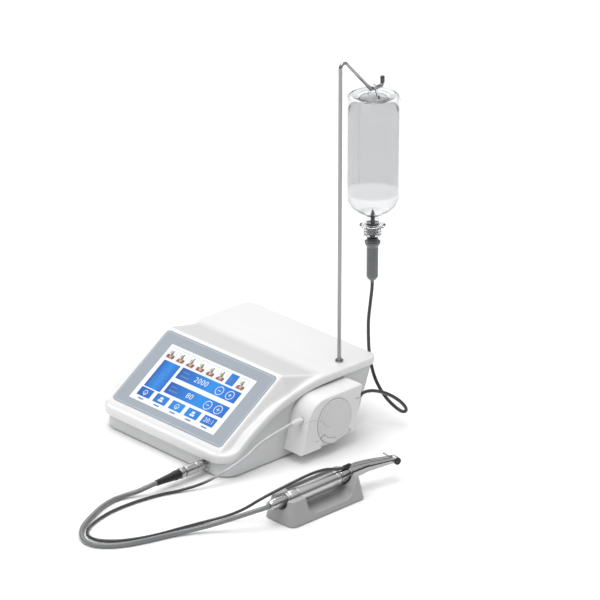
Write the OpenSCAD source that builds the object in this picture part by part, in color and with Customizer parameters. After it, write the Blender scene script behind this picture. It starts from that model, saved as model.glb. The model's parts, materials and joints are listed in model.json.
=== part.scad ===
// Surgical motor set: a console with a sloping touch screen and a side pump, a pole with
// a saline bottle, and a motor handpiece with a contra-angle lying on its own stand.
// X runs across the console's front, Y towards its back, Z up from the table.

/* [Console] */
// Width of the top cover
console_w = 240; // [225:1:290]
// Depth of the top cover
console_d = 265; // [250:1:320]
// Height of the flat rear part of the cover
top_z = 91.5; // [88:0.5:110]
// Height of the cover's front edge
lip_z = 32; // [31:0.5:36]
// Height of the cover's band at the front
band_front = 11.5; // [9:0.5:11.5]
// Height of the cover's band at the back
band_rear = 9.5; // [7:0.5:12]
// Radius of the cover's front corners, seen from above
front_r = 28; // [20:1:34]
// Radius of the cover's rear corners, seen from above
rear_r = 14; // [10:1:20]
// Wall thickness of cover and base
wall = 2.5; // [2:0.1:3]
// How far the base stands in from the cover
base_inset = 4.8; // [4:0.1:7]
// Height of the rubber feet
foot_h = 2.5; // [2.5:0.1:5]
// Radius of a rubber foot
foot_r = 8; // [5:0.5:9]

/* [Screen] */
// Width of the front glass
glass_w = 202.4; // [180:0.2:204]
// Height of the front glass along the slope
glass_h = 117.2; // [100:0.2:118]
// Thickness of the front glass
glass_t = 2; // [1.5:0.1:2]
// Tilt of the screen from the table
screen_tilt = 33.7; // [31:0.1:35]

/* [Pump] */
// How far the pump housing stands out from the base
pump_out = 33.1; // [31:0.1:38]
// Radius of the turning cover
disc_r = 28.7; // [27.5:0.1:28.8]
// Radius of the circle that the roller pins stand on
roller_orbit = 13; // [12:0.1:13]
// Radius of a roller
roller_r = 4.7; // [4:0.1:4.7]
// Radius of a roller pin
roller_pin_r = 1.5; // [1:0.05:1.8]
// Radius of the pump shaft
pump_shaft_r = 3; // [2.4:0.1:3.6]
// Outer radius of the pump tube and the supply tube
tube_r = 2.2; // [1.8:0.1:2.2]

/* [Pole and bottle] */
// Radius of the pole's rod
rod_r = 2.5; // [2.1:0.1:3.2]
// Height of the joint between the two straight rods
rod_joint_z = 262; // [200:1:300]
// Height of the joint between the upper rod and the hook arm
arm_joint_z = 452; // [440:1:460]
// Height of the hook's resting place
hook_z = 441; // [438:0.5:446]
// Radius of the bottle
bottle_r = 33.5; // [27.5:0.5:40]
// Wall thickness of the bottle
bottle_wall = 1.6; // [1:0.1:2]
// Radius of the drip chamber
chamber_r = 7.4; // [6:0.1:8]

/* [Handpiece] */
// Radius of the motor's body
motor_r = 9.6; // [9:0.1:9.8]
// Radius of the motor's nose that carries the contra-angle
nose_r = 6; // [5:0.1:6.5]
// Radius of the motor's shaft
motor_shaft_r = 1.5; // [1:0.1:1.8]
// Bend between the contra-angle's shank and its neck
neck_bend = 15; // [10:1:20]
// Length of the neck
neck_l = 45; // [40:1:50]
// Radius of the contra-angle's head
head_r = 4.8; // [4.6:0.1:5.5]
// Radius of the drill's shank
bur_r = 1.175; // [1.1:0.005:1.2]
// Radius of the motor cable
cable_r = 3.1; // [2.5:0.1:3.2]
// Outer radius of the irrigation tube
hose_r = 1.9; // [1.5:0.1:2.2]
// Radius of the cable's plug
plug_r = 6.8; // [6:0.1:6.9]

/* [Stand] */
// Height of the handpiece stand
stand_h = 31; // [30:0.5:40]
// Width of the stand's foot
stand_w = 52; // [46:1:60]
// Length of the stand's foot
stand_l = 124; // [112:1:132]

/* [Fits] */
// Running clearance of a shaft in its bearing, on the radius
run_fit = 0.05; // [0.02:0.01:0.1]
// Gap between pieces that move past each other
move_gap = 0.3; // [0.2:0.05:0.4]

/* [Hidden] */
$fn = 64;

// Cover and base
half_w = console_w / 2;
// Everything beside the console moves out with its right side
side = half_w - 120;
seat_gap = 0.3;
base_z = foot_h - 1;
floor_z = base_z + wall;
base_half = half_w - base_inset;
base_front = 6;
rear_low = console_d - 40;
rear_high = console_d - 6;
edge_points = [[0, lip_z], [22, lip_z + 4], [48, lip_z + 22], [93, lip_z + 45],
    [150, top_z - 1.3], [205, top_z]];
edge_curve = concat(spline(edge_points, 5), [[console_d, top_z]]);
roof_z = top_z - wall - seat_gap;
rear_slope = atan2(roof_z - base_z, rear_high - rear_low);
foot_spots = [for (x = [-1, 1], y = [30, rear_low - 25]) [x * (half_w - 36), y]];
post_spots = [[-(half_w - 20), 60], [half_w - 20, 60], [-(half_w - 18), rear_low - 17],
    [half_w - 58, rear_low - 17]];
post_r = 4;
post_low = floor_z + 12;
screw_r = 1.5;
screw_head_r = 2.9;
socket_hole_r = 6;
pole_hole_r = rod_r + 1.7;

// Boards
board_z = floor_z + 9;
board_low = [-96, 72];
board_high = [40, 150];
board_spots = [for (x = [board_low[0] + 6, board_high[0] - 6],
    y = [board_low[1] + 6, board_high[1] - 6]) [x, y]];
supply_low = [-94, rear_low - 66];
supply_high = [36, rear_low - 26];

// Screen
screen_y = 1.5;
screen_z = lip_z + 0.5;
pod_half = glass_w / 2 + 2.8;
pod_low = 6;
glass_low = pod_low + 4.9;
glass_high = glass_low + glass_h;
pod_high = glass_high + 4;
pod_back = 171;
lcd_w = 164;
lcd_h = 100;
lcd_low = glass_low + (glass_h - lcd_h) / 2;

// Pump
pump_y = 160;
pump_z = 44;
pump_x0 = base_half;
pump_x1 = base_half + pump_out;
floor_x = pump_x0 + 8.8;
tube_x = pump_x1 - 12.3;
track_out = disc_r - 1.4;
disc_x = pump_x1 - 3.3;
plate_t = 2;
rotor_x = floor_x + 1.2;
roller_x = rotor_x + plate_t + move_gap;
rotor_end = disc_x - 1.5;
roller_end = rotor_end - plate_t - move_gap;
rotor_plate_r = roller_orbit + roller_pin_r + 1;
track_mean = 20.2;
track_r = track_mean + tube_r + move_gap;
inlet_z = 58;
outlet_z = 54.5;
tab_angle = 247;
tab_half = 13;
cover_turn = 60;
outlet_y = 115;
nozzle_y = 98;
inlet_y = 205.5;
inlet_end = 218;

// Pole, hook and bottle
pole_x = half_w - 20.5;
pole_y = 215;
pole_foot = top_z - 19;
hook_y = 272;
bottle_top = hook_z - 8;
bottle_mouth = 252;
neck_r = 9.8;
spike_r = 2.6;
chamber_low = 187;
chamber_top = 240;
supply_start = 183;

// Handpiece and stand
hand_x = 243 + side;
hand_z = 27.5;
nut_y = -40.5;
motor_y = -14;
motor_end = 73;
shank_y = motor_end + 1.6;
neck_y = 116;
head_angle = 98;
neck_dir = 90 - neck_bend;
bur_dir = neck_dir + head_angle;
stand_x = hand_x - 1;
stand_y = -25;
stand_base = 0.6;
connector_x = hand_x + 2;
connector_z = hand_z + motor_r + 2.2;

// Plug
plug_x = 80 + side;
plug_z = foot_h + 10.1;
socket_y = base_front;
plug_y = socket_y - 9;
plug_end = -38;
relief_end = -76;
sleeve_travel = 2;
sleeve_y0 = plug_y - 3;
sleeve_y1 = plug_end + 6 + sleeve_travel + move_gap;
plug_pin_r = 4.5;

// Fan and sockets on the rear wall
fan_x = -62;
fan_up = 34;
fan_size = 40;
inlet_x = 12;
inlet_up = 36;
pedal_x = 62;
pedal_up = 34;

// The console's front centre, seen from the origin below the middle of the whole set
console_pos = [-(stand_x + stand_w / 2 - half_w) / 2, -(nut_y + hook_y + bottle_r) / 2, 0];

// Routes of the cords
cable_route = [[80, -76, 12.6], [80, -81, 12.6], [77.5, -90, 10.5], [72, -100, 6.5],
    [66, -113, 4], [64, -132, 3.2],
    [69, -154, 3.2], [77, -173, 3.2], [86, -192, 3.2], [96, -208, 3.2], [109, -221, 3.2],
    [124, -228, 3.2], [140, -226, 3.2], [154, -214, 3.2], [164, -198, 3.2], [171, -180, 3.2],
    [177, -160, 3.2], [183, -140, 3.4], [192, -120, 5], [204, -102, 9], [216, -87, 14.5],
    [228, -73, 20.5], [237, -60, 25], [242, -51, 27.2],
    [243, -45.5, 27.5], [243, -40.5, 27.5]];
hose_route = [[136, 98, 54.5], [136, 94, 54.5], [135, 87, 52.6], [131, 76, 48],
    [127, 62, 42], [125, 49, 36],
    [124, 36, 29], [122, 22, 23], [119, 6, 17], [115, -12, 11], [109, -32, 6], [99, -56, 2.5],
    [91, -78, 2], [86, -104, 2], [84, -130, 2], [85, -154, 2], [90, -178, 2], [99, -200, 2],
    [113, -214, 2], [130, -214, 2], [147, -200, 2], [160, -178, 2], [169, -152, 2],
    [175, -124, 2], [181, -96, 2], [192, -72, 5], [202, -61, 10],
    [213, -50, 18], [223, -36, 28], [232, -15, 37], [238, 8, 43], [241, 32, 46], [243, 54, 45],
    [244.5, 68, 41], [245, 77, 39.3], [245, 82, 39.3]];
supply_route = [[99.5, 272, 183], [99.5, 272, 178], [98.5, 272, 168], [96, 272, 150],
    [94.5, 271, 130], [94.5, 271, 108],
    [97, 270, 88], [101, 270, 70], [108, 270, 54], [117, 271, 41], [126, 273, 31],
    [136, 276, 23], [146, 279, 18], [152, 281, 19], [153, 280, 25], [149, 274, 34],
    [144, 264, 43], [140, 251, 51], [137, 238, 56], [136, 228, 58], [136, 222, 58],
    [136, 218, 58]];

// Route of the handpiece's rigid irrigation pipe
pipe_points = [[connector_x, 92.5, connector_z], [connector_x + 0.5, 104, connector_z - 0.3],
    [connector_x + 3, 124, 37.2], [connector_x + 7, 146, 34.6], [connector_x + 9, 156, 33.9]];

// A point on the curve through four points, a share t of the way from b to c
function curve_point(a, b, c, d, t) = 0.5 * (2 * b + (c - a) * t
    + (2 * a - 5 * b + 4 * c - d) * t * t + (3 * b - a - 3 * c + d) * t * t * t);

// A smooth line through all points, with n steps between each two
function spline(points, n) = let (last = len(points) - 1) concat(
    [for (i = [0:last - 1], k = [0:n - 1])
        curve_point(points[max(i - 1, 0)], points[i], points[i + 1],
            points[min(i + 2, last)], k / n)],
    [points[last]]);

function unit(v) = v / norm(v);

// Points of an arc in a plane
function arc(centre, r, from, to, n) = [for (i = [0:n])
    centre + r * [cos(from + (to - from) * i / n), sin(from + (to - from) * i / n)]];

// A plane outline drawn in (Y, Z) and pushed along X from x0 to x1
module side_slab(x0, x1) {
    translate([x0, 0, 0]) rotate([90, 0, 90]) linear_extrude(x1 - x0) children();
}

// A round bar along X, Y or Z
module bar_x(x0, x1, y, z, r) {
    translate([x0, y, z]) rotate([0, 90, 0]) cylinder(h = x1 - x0, r = r);
}
module bar_y(x, y0, y1, z, r) {
    translate([x, y0, z]) rotate([-90, 0, 0]) cylinder(h = y1 - y0, r = r);
}
module bar_z(x, y, z0, z1, r) {
    translate([x, y, z0]) cylinder(h = z1 - z0, r = r);
}

// A box between two corners
module box(low, high) {
    translate(low) cube(high - low);
}

// A plate with round corners between two corners; the front and back radii may differ
module round_plate(low, high, r_front, r_back) {
    box([low[0] + r_front, low[1], low[2]], [high[0] - r_front, low[1] + r_front, high[2]]);
    box([low[0], low[1] + r_front, low[2]], [high[0], high[1] - r_back, high[2]]);
    box([low[0] + r_back, high[1] - r_back, low[2]], [high[0] - r_back, high[1], high[2]]);
    for (x = [low[0] + r_front, high[0] - r_front])
        bar_z(x, low[1] + r_front, low[2], high[2], r_front);
    for (x = [low[0] + r_back, high[0] - r_back])
        bar_z(x, high[1] - r_back, low[2], high[2], r_back);
}

// A plane path through points, with a bend of its own radius at each inner corner
function turn(points, i) = let (
    a = unit(points[i] - points[i - 1]),
    b = unit(points[i + 1] - points[i]))
    atan2(a[0] * b[1] - a[1] * b[0], a * b);
function bend(points, i, r) = let (
    a = unit(points[i] - points[i - 1]),
    side = sign(turn(points, i)),
    start = points[i] - a * r * tan(abs(turn(points, i)) / 2),
    centre = start + side * r * [-a[1], a[0]],
    spoke = atan2(start[1] - centre[1], start[0] - centre[0]))
    arc(centre, r, spoke, spoke + turn(points, i), 7);
function bend_path(points, bends) = concat([points[0]],
    [for (i = [1:len(points) - 2]) each bend(points, i, bends[i - 1])], [points[len(points) - 1]]);

// A tube swept along a route, one ring of sides at each point
function ring_axis(route, i) = unit(route[min(i + 1, len(route) - 1)] - route[max(i - 1, 0)]);
function ring_side(a) = unit(cross(a, abs(a[2]) > 0.9 ? [0, 1, 0] : [0, 0, 1]));
function carry(side, a) = unit(side - (side * a) * a);
function ring_sides(route, i = 0, side = undef, out = []) = i == len(route) ? out :
    let (a = ring_axis(route, i), s = i == 0 ? ring_side(a) : carry(side, a))
    ring_sides(route, i + 1, s, concat(out, [[a, s]]));
module cord(route, r, sides) {
    count = len(route);
    frames = ring_sides(route);
    corners = [for (i = [0:count - 1], k = [0:sides - 1])
        let (a = frames[i][0], s = frames[i][1], t = 360 * k / sides)
        route[i] + r * (cos(t) * s + sin(t) * cross(a, s))];
    tube_faces = [for (i = [0:count - 2], k = [0:sides - 1])
        let (n = (k + 1) % sides)
        each [[i * sides + k, i * sides + n, (i + 1) * sides + n],
            [i * sides + k, (i + 1) * sides + n, (i + 1) * sides + k]]];
    start_cap = [[for (k = [0:sides - 1]) k]];
    end_cap = [[for (k = [sides - 1:-1:0]) (count - 1) * sides + k]];
    polyhedron(corners, concat(start_cap, [for (f = tube_faces) [f[2], f[1], f[0]]], end_cap));
}

// A bent rod or tube in the (Y, Z) plane at a given X
module rod_yz(x, points, bends, r) {
    cord([for (p = bend_path(points, bends)) [x, p[0], p[1]]], r, 12);
}

// Frames of reference
module placed() {
    translate(console_pos) children();
}
// Local X across, Y up the screen, Z out of the glass
module on_screen() {
    translate([0, screen_y, screen_z]) rotate([screen_tilt, 0, 0]) children();
}
// Local X across, Y up the rear wall, Z into the console
module on_rear() {
    translate([0, rear_low, base_z]) rotate([rear_slope, 0, 0]) children();
}
// Local Z along the handpiece, towards its head
module on_hand(y = 0) {
    translate([hand_x, y, hand_z]) rotate([-90, 0, 0]) children();
}
module on_neck() {
    translate([hand_x, neck_y, hand_z]) rotate([0, 90, neck_dir]) children();
}
// Local Z along the drill, out of the head
module on_head() {
    translate([hand_x + neck_l * cos(neck_dir), neck_y + neck_l * sin(neck_dir), hand_z])
        rotate([0, 90, bur_dir]) children();
}
module on_bottle() {
    translate([pole_x, hook_y, 0]) children();
}

// The band under the cover's edge gets lower towards the back
function band(y) = band_front + (band_rear - band_front) * y / console_d;

module cover_block() {
    intersection() {
        side_slab(-half_w, half_w) polygon(concat(edge_curve,
            [for (i = [len(edge_curve) - 1:-1:0])
                [edge_curve[i][0], edge_curve[i][1] - band(edge_curve[i][0])]]));
        round_plate([-half_w, 0, 0], [half_w, console_d, top_z + 20], front_r, rear_r);
    }
}
module cover_hollow() {
    intersection() {
        side_slab(-half_w, half_w) polygon(concat(
            [for (p = edge_curve) [p[0], p[1] - wall]], [[console_d, -1], [0, -1]]));
        round_plate([-half_w + wall, wall, -2], [half_w - wall, console_d - wall, top_z],
            front_r - wall, rear_r - wall);
    }
}
// The raised pod that carries the screen; the hollow one is a wall smaller all round
module pod(less) {
    r = 8;
    hull() {
        on_screen() for (x = [-1, 1], s = [pod_low + less + r, pod_high - less - r])
            translate([x * (pod_half - less - r), s, -0.5 - less * 1.6])
                cylinder(h = 0.5, r = r, $fn = 32);
        on_screen() box([-pod_half - 9 + less, pod_low + less, -15 - less],
            [pod_half + 9 - less, pod_high - 10, -14 - less]);
        box([-pod_half - 6 + less, pod_back - 2 - less, top_z - 7],
            [pod_half + 6 - less, pod_back - less, top_z - 0.6 - less]);
    }
}
module cover_posts() {
    intersection() {
        union() {
            cover_block();
            pod(0);
        }
        for (p = post_spots) bar_z(p[0], p[1], post_low + seat_gap, top_z + 20, post_r);
    }
}

module top_cover() {
    color("white") placed() difference() {
        union() {
            difference() {
                union() {
                    cover_block();
                    pod(0);
                }
                cover_hollow();
                pod(wall);
            }
            cover_posts();
        }
        on_screen() round_plate([-glass_w / 2 - 0.2, glass_low - 0.2, -glass_t],
            [glass_w / 2 + 0.2, glass_high + 0.2, 3], 6.2, 6.2);
        on_screen() box([-lcd_w / 2 - 1, lcd_low - 1, -12], [lcd_w / 2 + 1, lcd_low + lcd_h + 1, 1]);
        for (p = post_spots) bar_z(p[0], p[1], post_low - 1, post_low + 9, screw_r + run_fit);
        bar_z(pole_x, pole_y, top_z - 10, top_z + 1, pole_hole_r + 0.1);
    }
}

// A point on the rear wall's slanted line at height z, moved inwards by less
function rear_point(z, less) = [rear_low + (z - base_z) / tan(rear_slope) - less / sin(rear_slope), z];

module base_outside() {
    intersection() {
        side_slab(-half_w, half_w) polygon(concat(
            [[base_front, base_z], rear_point(base_z, 0), rear_point(roof_z, 0)],
            [for (i = [len(edge_curve) - 1:-1:0]) let (p = edge_curve[i])
                if (p[0] > base_front && p[0] < rear_high) [p[0], p[1] - wall - seat_gap]],
            [[base_front, lookup(base_front, edge_curve) - wall - seat_gap]]));
        round_plate([-base_half, base_front, 0], [base_half, rear_high + 1, top_z],
            front_r - base_inset, rear_r - base_inset);
    }
}
module base_inside() {
    intersection() {
        side_slab(-half_w, half_w) polygon([[base_front + wall, floor_z], rear_point(floor_z, wall),
            rear_point(top_z + 10, wall), [base_front + wall, top_z + 10]]);
        round_plate([-base_half + wall, base_front + wall, 0],
            [base_half - wall, rear_high + 1, top_z + 20], front_r - base_inset - wall,
            rear_r - base_inset);
    }
}

module base_shell() {
    color("gainsboro") placed() difference() {
        union() {
            difference() {
                base_outside();
                base_inside();
            }
            for (p = post_spots) bar_z(p[0], p[1], floor_z - 1, post_low, post_r);
            for (p = board_spots) bar_z(p[0], p[1], floor_z - 1, board_z, 3);
        }
        for (p = foot_spots) bar_z(p[0], p[1], 0, foot_h, foot_r + 0.2);
        for (p = post_spots) {
            bar_z(p[0], p[1], 0, floor_z, screw_head_r + 0.1);
            bar_z(p[0], p[1], 0, post_low + 1, screw_r + run_fit);
        }
        bar_x(base_half - 10, base_half + 1, pump_y, pump_z, 6.3);
        bar_y(plug_x, base_front - 1, base_front + wall + 1, plug_z, socket_hole_r + 0.1);
        on_rear() for (i = [-4:4])
            box([fan_x + i * 4 - 1.2, fan_up - sqrt(18 * 18 - i * i * 16), -1],
                [fan_x + i * 4 + 1.2, fan_up + sqrt(18 * 18 - i * i * 16), wall + 1]);
        on_rear() box([inlet_x - 14, inlet_up - 24, -1], [inlet_x + 14, inlet_up + 24, wall + 1]);
        on_rear() bar_z(pedal_x, pedal_up, -1, wall + 1, 8.2);
    }
}

module rubber_feet() {
    color("dimgray") placed() for (p = foot_spots) bar_z(p[0], p[1], 0, foot_h, foot_r);
}

module case_screws() {
    color("silver") placed() for (p = post_spots) {
        bar_z(p[0], p[1], floor_z - 2.3, floor_z, screw_head_r);
        bar_z(p[0], p[1], floor_z, post_low + 8, screw_r);
    }
}

module screen_glass() {
    color("lightsteelblue") placed() on_screen()
        round_plate([-glass_w / 2, glass_low, -glass_t], [glass_w / 2, glass_high, 0], 6, 6);
}

module display_panel() {
    color("royalblue") placed() on_screen()
        box([-lcd_w / 2, lcd_low, -glass_t - seat_gap - 6],
            [lcd_w / 2, lcd_low + lcd_h, -glass_t - seat_gap]);
}

module control_board() {
    color("darkgreen") placed() {
        box([board_low[0], board_low[1], board_z], [board_high[0], board_high[1], board_z + 1.6]);
        for (i = [0:3]) box([-80 + i * 26, 92, board_z + 1.6], [-66 + i * 26, 106, board_z + 4]);
        for (i = [0:4]) box([-88 + i * 24, 136, board_z + 1.6], [-74 + i * 24, 146, board_z + 10]);
        bar_z(20, 90, board_z + 1.6, board_z + 9, 6);
        for (i = [0:2]) bar_z(-70 + i * 14, 122, board_z + 1.6, board_z + 12, 4);
    }
}

module power_supply() {
    color("darkkhaki") placed() {
        box([supply_low[0], supply_low[1], floor_z + 5],
            [supply_high[0], supply_high[1], floor_z + 6.6]);
        for (x = [supply_low[0] + 5, supply_high[0] - 5],
            y = [supply_low[1] + 5, supply_high[1] - 5]) bar_z(x, y, floor_z, floor_z + 5, 3);
        box([-84, supply_low[1] + 5, floor_z + 6.6], [-54, supply_high[1] - 5, floor_z + 32]);
        for (x = [-42, -24]) bar_z(x, supply_low[1] + 20, floor_z + 6.6, floor_z + 34, 8);
        for (i = [0:4]) box([-8 + i * 7, supply_low[1] + 6, floor_z + 6.6],
            [-5.5 + i * 7, supply_high[1] - 6, floor_z + 30]);
        box([-8, supply_low[1] + 6, floor_z + 6.6], [22.5, supply_high[1] - 6, floor_z + 9]);
    }
}

// Pump
module pump_outline() {
    low = 12.6;
    high = top_z - 13.2;
    corner = 30;
    polygon(concat([[pump_y - 57, low], [pump_y + 10, low], [pump_y + 36, low + 7.4],
        [pump_y + 49, high]], arc([pump_y - 14, high - corner], corner, 90, 160, 10)));
}
module pump_ring(x0, x1, r0, r1, from, span) {
    translate([x0, pump_y, pump_z]) rotate([90, 0, 90]) rotate([0, 0, from])
        rotate_extrude(angle = span) translate([r0, 0]) square([r1 - r0, x1 - x0]);
}

module pump_housing() {
    color("whitesmoke") placed() difference() {
        side_slab(pump_x0, pump_x1) pump_outline();
        bar_x(floor_x, pump_x1 + 1, pump_y, pump_z, track_out);
        bar_x(disc_x, pump_x1 + 1, pump_y, pump_z, disc_r + move_gap);
        bar_x(pump_x0 - 1, floor_x + 1, pump_y, pump_z, 6.3);
        pump_ring(disc_x, pump_x1 + 1, disc_r - 1, disc_r + 8.3, tab_angle - tab_half - 4,
            cover_turn + 2 * tab_half + 8);
        bar_y(tube_x, pump_y - 60, pump_y, outlet_z, tube_r + 0.3);
        bar_y(tube_x, pump_y, pump_y + 60, inlet_z, tube_r + 0.3);
        box([tube_x - 3, pump_y - 31, outlet_z - 11.5], [tube_x + 3, pump_y - 18, outlet_z + 3]);
        box([tube_x - 3, pump_y + 18, inlet_z - 12], [tube_x + 3, pump_y + 32, inlet_z + 3]);
    }
}

module pump_track() {
    color("lightgray") placed()
        pump_ring(floor_x, disc_x - move_gap, track_r, track_out - 0.1, 180, 180);
}

module pump_gearmotor() {
    color("slategray") placed() difference() {
        union() {
            bar_x(base_half - wall - 22.3, base_half - wall - 0.3, pump_y, pump_z, 18.5);
            bar_x(base_half - wall - 60, base_half - wall - 22.3, pump_y, pump_z, 17);
            bar_x(base_half - wall - 1, floor_x - 1, pump_y, pump_z, 6);
        }
        bar_x(base_half - wall - 14, floor_x, pump_y, pump_z, pump_shaft_r + run_fit);
    }
}

module pump_shaft() {
    color("silver") placed() bar_x(base_half - wall - 13.5, rotor_end, pump_y, pump_z, pump_shaft_r);
}

module at_roller(i) {
    turn_angle = 30 + i * 120;
    translate([0, pump_y + roller_orbit * cos(turn_angle), pump_z + roller_orbit * sin(turn_angle)])
        children();
}

module pump_rotor() {
    color("lightgray") placed() difference() {
        union() {
            bar_x(rotor_x, rotor_x + plate_t, pump_y, pump_z, rotor_plate_r);
            bar_x(rotor_end - plate_t, rotor_end, pump_y, pump_z, rotor_plate_r);
            bar_x(rotor_x, rotor_end, pump_y, pump_z, roller_orbit - roller_r - 1.8);
        }
        bar_x(rotor_x - 1, rotor_end + 1, pump_y, pump_z, pump_shaft_r);
        for (i = [0:2]) at_roller(i) bar_x(rotor_x - 1, rotor_end + 1, 0, 0, roller_pin_r);
    }
}

module roller_pins() {
    color("silver") placed() for (i = [0:2]) at_roller(i)
        bar_x(rotor_x, rotor_end, 0, 0, roller_pin_r);
}

module roller(i) {
    color("white") placed() at_roller(i) difference() {
        bar_x(roller_x, roller_end, 0, 0, roller_r);
        bar_x(roller_x - 1, roller_end + 1, 0, 0, roller_pin_r + run_fit);
    }
}
module roller_1() {
    roller(0);
}
module roller_2() {
    roller(1);
}
module roller_3() {
    roller(2);
}

module pump_cover() {
    color("whitesmoke") placed() {
        bar_x(disc_x + 0.2, pump_x1 + 0.3, pump_y, pump_z, disc_r);
        pump_ring(disc_x + 0.2, pump_x1 + 4.2, disc_r - 5, disc_r + 5.8, tab_angle - tab_half,
            2 * tab_half);
    }
}

module pump_tube() {
    near = pump_y - track_mean;
    far = pump_y + track_mean;
    low = pump_z - track_mean;
    color("lightgray") placed() rod_yz(tube_x, [[outlet_y, outlet_z], [near, outlet_z],
        [near, low], [far, low], [far, inlet_z], [inlet_y, inlet_z]],
        [8, track_mean - 0.1, track_mean - 0.1, 9], tube_r);
}

module outlet_nozzle() {
    color("white") placed() difference() {
        union() {
            bar_y(tube_x, nozzle_y + 4, outlet_y, outlet_z, 3.4);
            bar_y(tube_x, nozzle_y + 6, nozzle_y + 9, outlet_z, 4.4);
            bar_y(tube_x, nozzle_y, nozzle_y + 4, outlet_z, 2.6);
        }
        bar_y(tube_x, nozzle_y - 1, outlet_y + 1, outlet_z, 1.1);
    }
}

module inlet_fitting() {
    color("black") placed() difference() {
        union() {
            bar_y(tube_x, inlet_y, inlet_y + 4, inlet_z, 4);
            bar_y(tube_x, inlet_y + 4, inlet_end, inlet_z, 3.2);
        }
        bar_y(tube_x, inlet_y - 1, inlet_end + 1, inlet_z, 1.1);
    }
}

// Pole and bottle
module pole_socket() {
    color("silver") placed() difference() {
        union() {
            bar_z(pole_x, pole_y, top_z, top_z + 2, pole_hole_r + 1);
            bar_z(pole_x, pole_y, top_z + 2, top_z + 4, rod_r + 1);
            bar_z(pole_x, pole_y, pole_foot - 2, top_z, pole_hole_r);
            bar_z(pole_x, pole_y, top_z - wall - 3.5, top_z - wall - 0.2, pole_hole_r + 3);
        }
        bar_z(pole_x, pole_y, pole_foot, top_z + 7, rod_r);
    }
}

module pole_lower() {
    color("silver") placed() bar_z(pole_x, pole_y, pole_foot, rod_joint_z, rod_r);
}

module pole_upper() {
    color("silver") placed() bar_z(pole_x, pole_y, rod_joint_z, arm_joint_z, rod_r);
}

module hook_arm() {
    color("silver") placed() {
        rod_yz(pole_x, [[pole_y, arm_joint_z], [pole_y, hook_z + 54], [hook_y - 5, hook_z],
            [hook_y + 15, hook_z], [hook_y + 15, hook_z + 12]], [6, 6, 4.5], rod_r - 0.1);
        bar_y(pole_x, hook_y - 2, hook_y + 9, hook_z, rod_r);
    }
}

// Outline of the bottle, grown by t, from its base down to its mouth
function bottle_outline(t) = concat(
    [[0, bottle_top - 5 + t], [bottle_r - 15 + t, bottle_top - 5 + t],
    [bottle_r - 11 + t, bottle_top - 1.6 + t]],
    arc([bottle_r - 6, bottle_top - 6], 6 + t, 90, 0, 6),
    arc([bottle_r - 24, 300], 24 + t, 0, -68, 10),
    [[neck_r + t, 275], [neck_r + t, bottle_mouth]]);

module bottle() {
    color("aliceblue", 0.4) placed() on_bottle() rotate_extrude()
        polygon(concat(bottle_outline(0), [for (i = [len(bottle_outline(0)) - 1:-1:0])
            bottle_outline(-bottle_wall)[i]]));
}

module saline() {
    level = bottle_top - 16;
    gap = bottle_wall + 0.1;
    color("lightblue", 0.4) placed() on_bottle() rotate_extrude()
        polygon(concat([[0, level], [bottle_r - gap, level]],
            arc([bottle_r - 24, 300], 24 - gap, 0, -68, 10), [[neck_r - gap, 275], [neck_r - gap, 264],
            [spike_r + 0.1, 264], [spike_r + 0.1, 277], [0, 284]]));
}

module bottle_stopper() {
    color("gray") placed() on_bottle() difference() {
        union() {
            bar_z(0, 0, bottle_mouth, 262, neck_r - bottle_wall - 0.1);
            bar_z(0, 0, bottle_mouth - 2.5, bottle_mouth, neck_r);
        }
        bar_z(0, 0, bottle_mouth - 4, 263, spike_r);
    }
}

module bottle_cap() {
    color("aliceblue", 0.5) placed() on_bottle() difference() {
        union() {
            bar_z(0, 0, bottle_mouth - 5, 262, neck_r + 1.6);
            translate([0, 0, 257]) cylinder(h = 3, r1 = neck_r + 3, r2 = neck_r + 6.7);
        }
        bar_z(0, 0, bottle_mouth - 2.7, 263, neck_r + 0.1);
        bar_z(0, 0, bottle_mouth - 6, 263, spike_r + 1);
    }
}

module bottle_hanger() {
    hole = rod_r + move_gap;
    color("aliceblue", 0.6) placed() on_bottle() {
        bar_z(0, 0, bottle_top - 4.9, bottle_top - 3.4, bottle_r - 16.5);
        translate([0, 1.5, 0]) rotate([90, 0, 0]) linear_extrude(3) difference() {
            union() {
                translate([0, hook_z]) circle(hole + 2.4);
                polygon([[-10, bottle_top - 3.6], [10, bottle_top - 3.6], [hole + 2.4, hook_z],
                    [-hole - 2.4, hook_z]]);
            }
            translate([0, hook_z]) circle(hole);
            polygon([[-7, bottle_top - 1], [7, bottle_top - 1], [hole, hook_z], [-hole, hook_z]]);
        }
    }
}

module spike() {
    color("dimgray") placed() on_bottle() difference() {
        union() {
            bar_z(0, 0, chamber_top, chamber_top + 3.5, chamber_r - 0.4);
            bar_z(0, 0, chamber_top + 3.5, 276, spike_r);
            translate([0, 0, 276]) cylinder(h = 6, r1 = spike_r, r2 = 0.4);
        }
        bar_z(0, 0, chamber_top - 1, 276, 0.9);
    }
}

module drip_chamber() {
    color("gray") placed() on_bottle() rotate_extrude() polygon([
        [1, supply_start], [2.4, supply_start], [2.4, chamber_low - 1], [chamber_r - 2, chamber_low],
        [chamber_r, chamber_low + 3], [chamber_r, 232], [10, 236], [10, 238], [chamber_r, 238],
        [chamber_r, chamber_top], [chamber_r - 1, chamber_top], [chamber_r - 1, chamber_low + 3],
        [chamber_r - 2.4, chamber_low + 1], [1, chamber_low + 1]]);
}

module supply_tube() {
    color("dimgray") placed() translate([side, 0, 0]) cord(supply_route, tube_r, 8);
}

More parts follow.
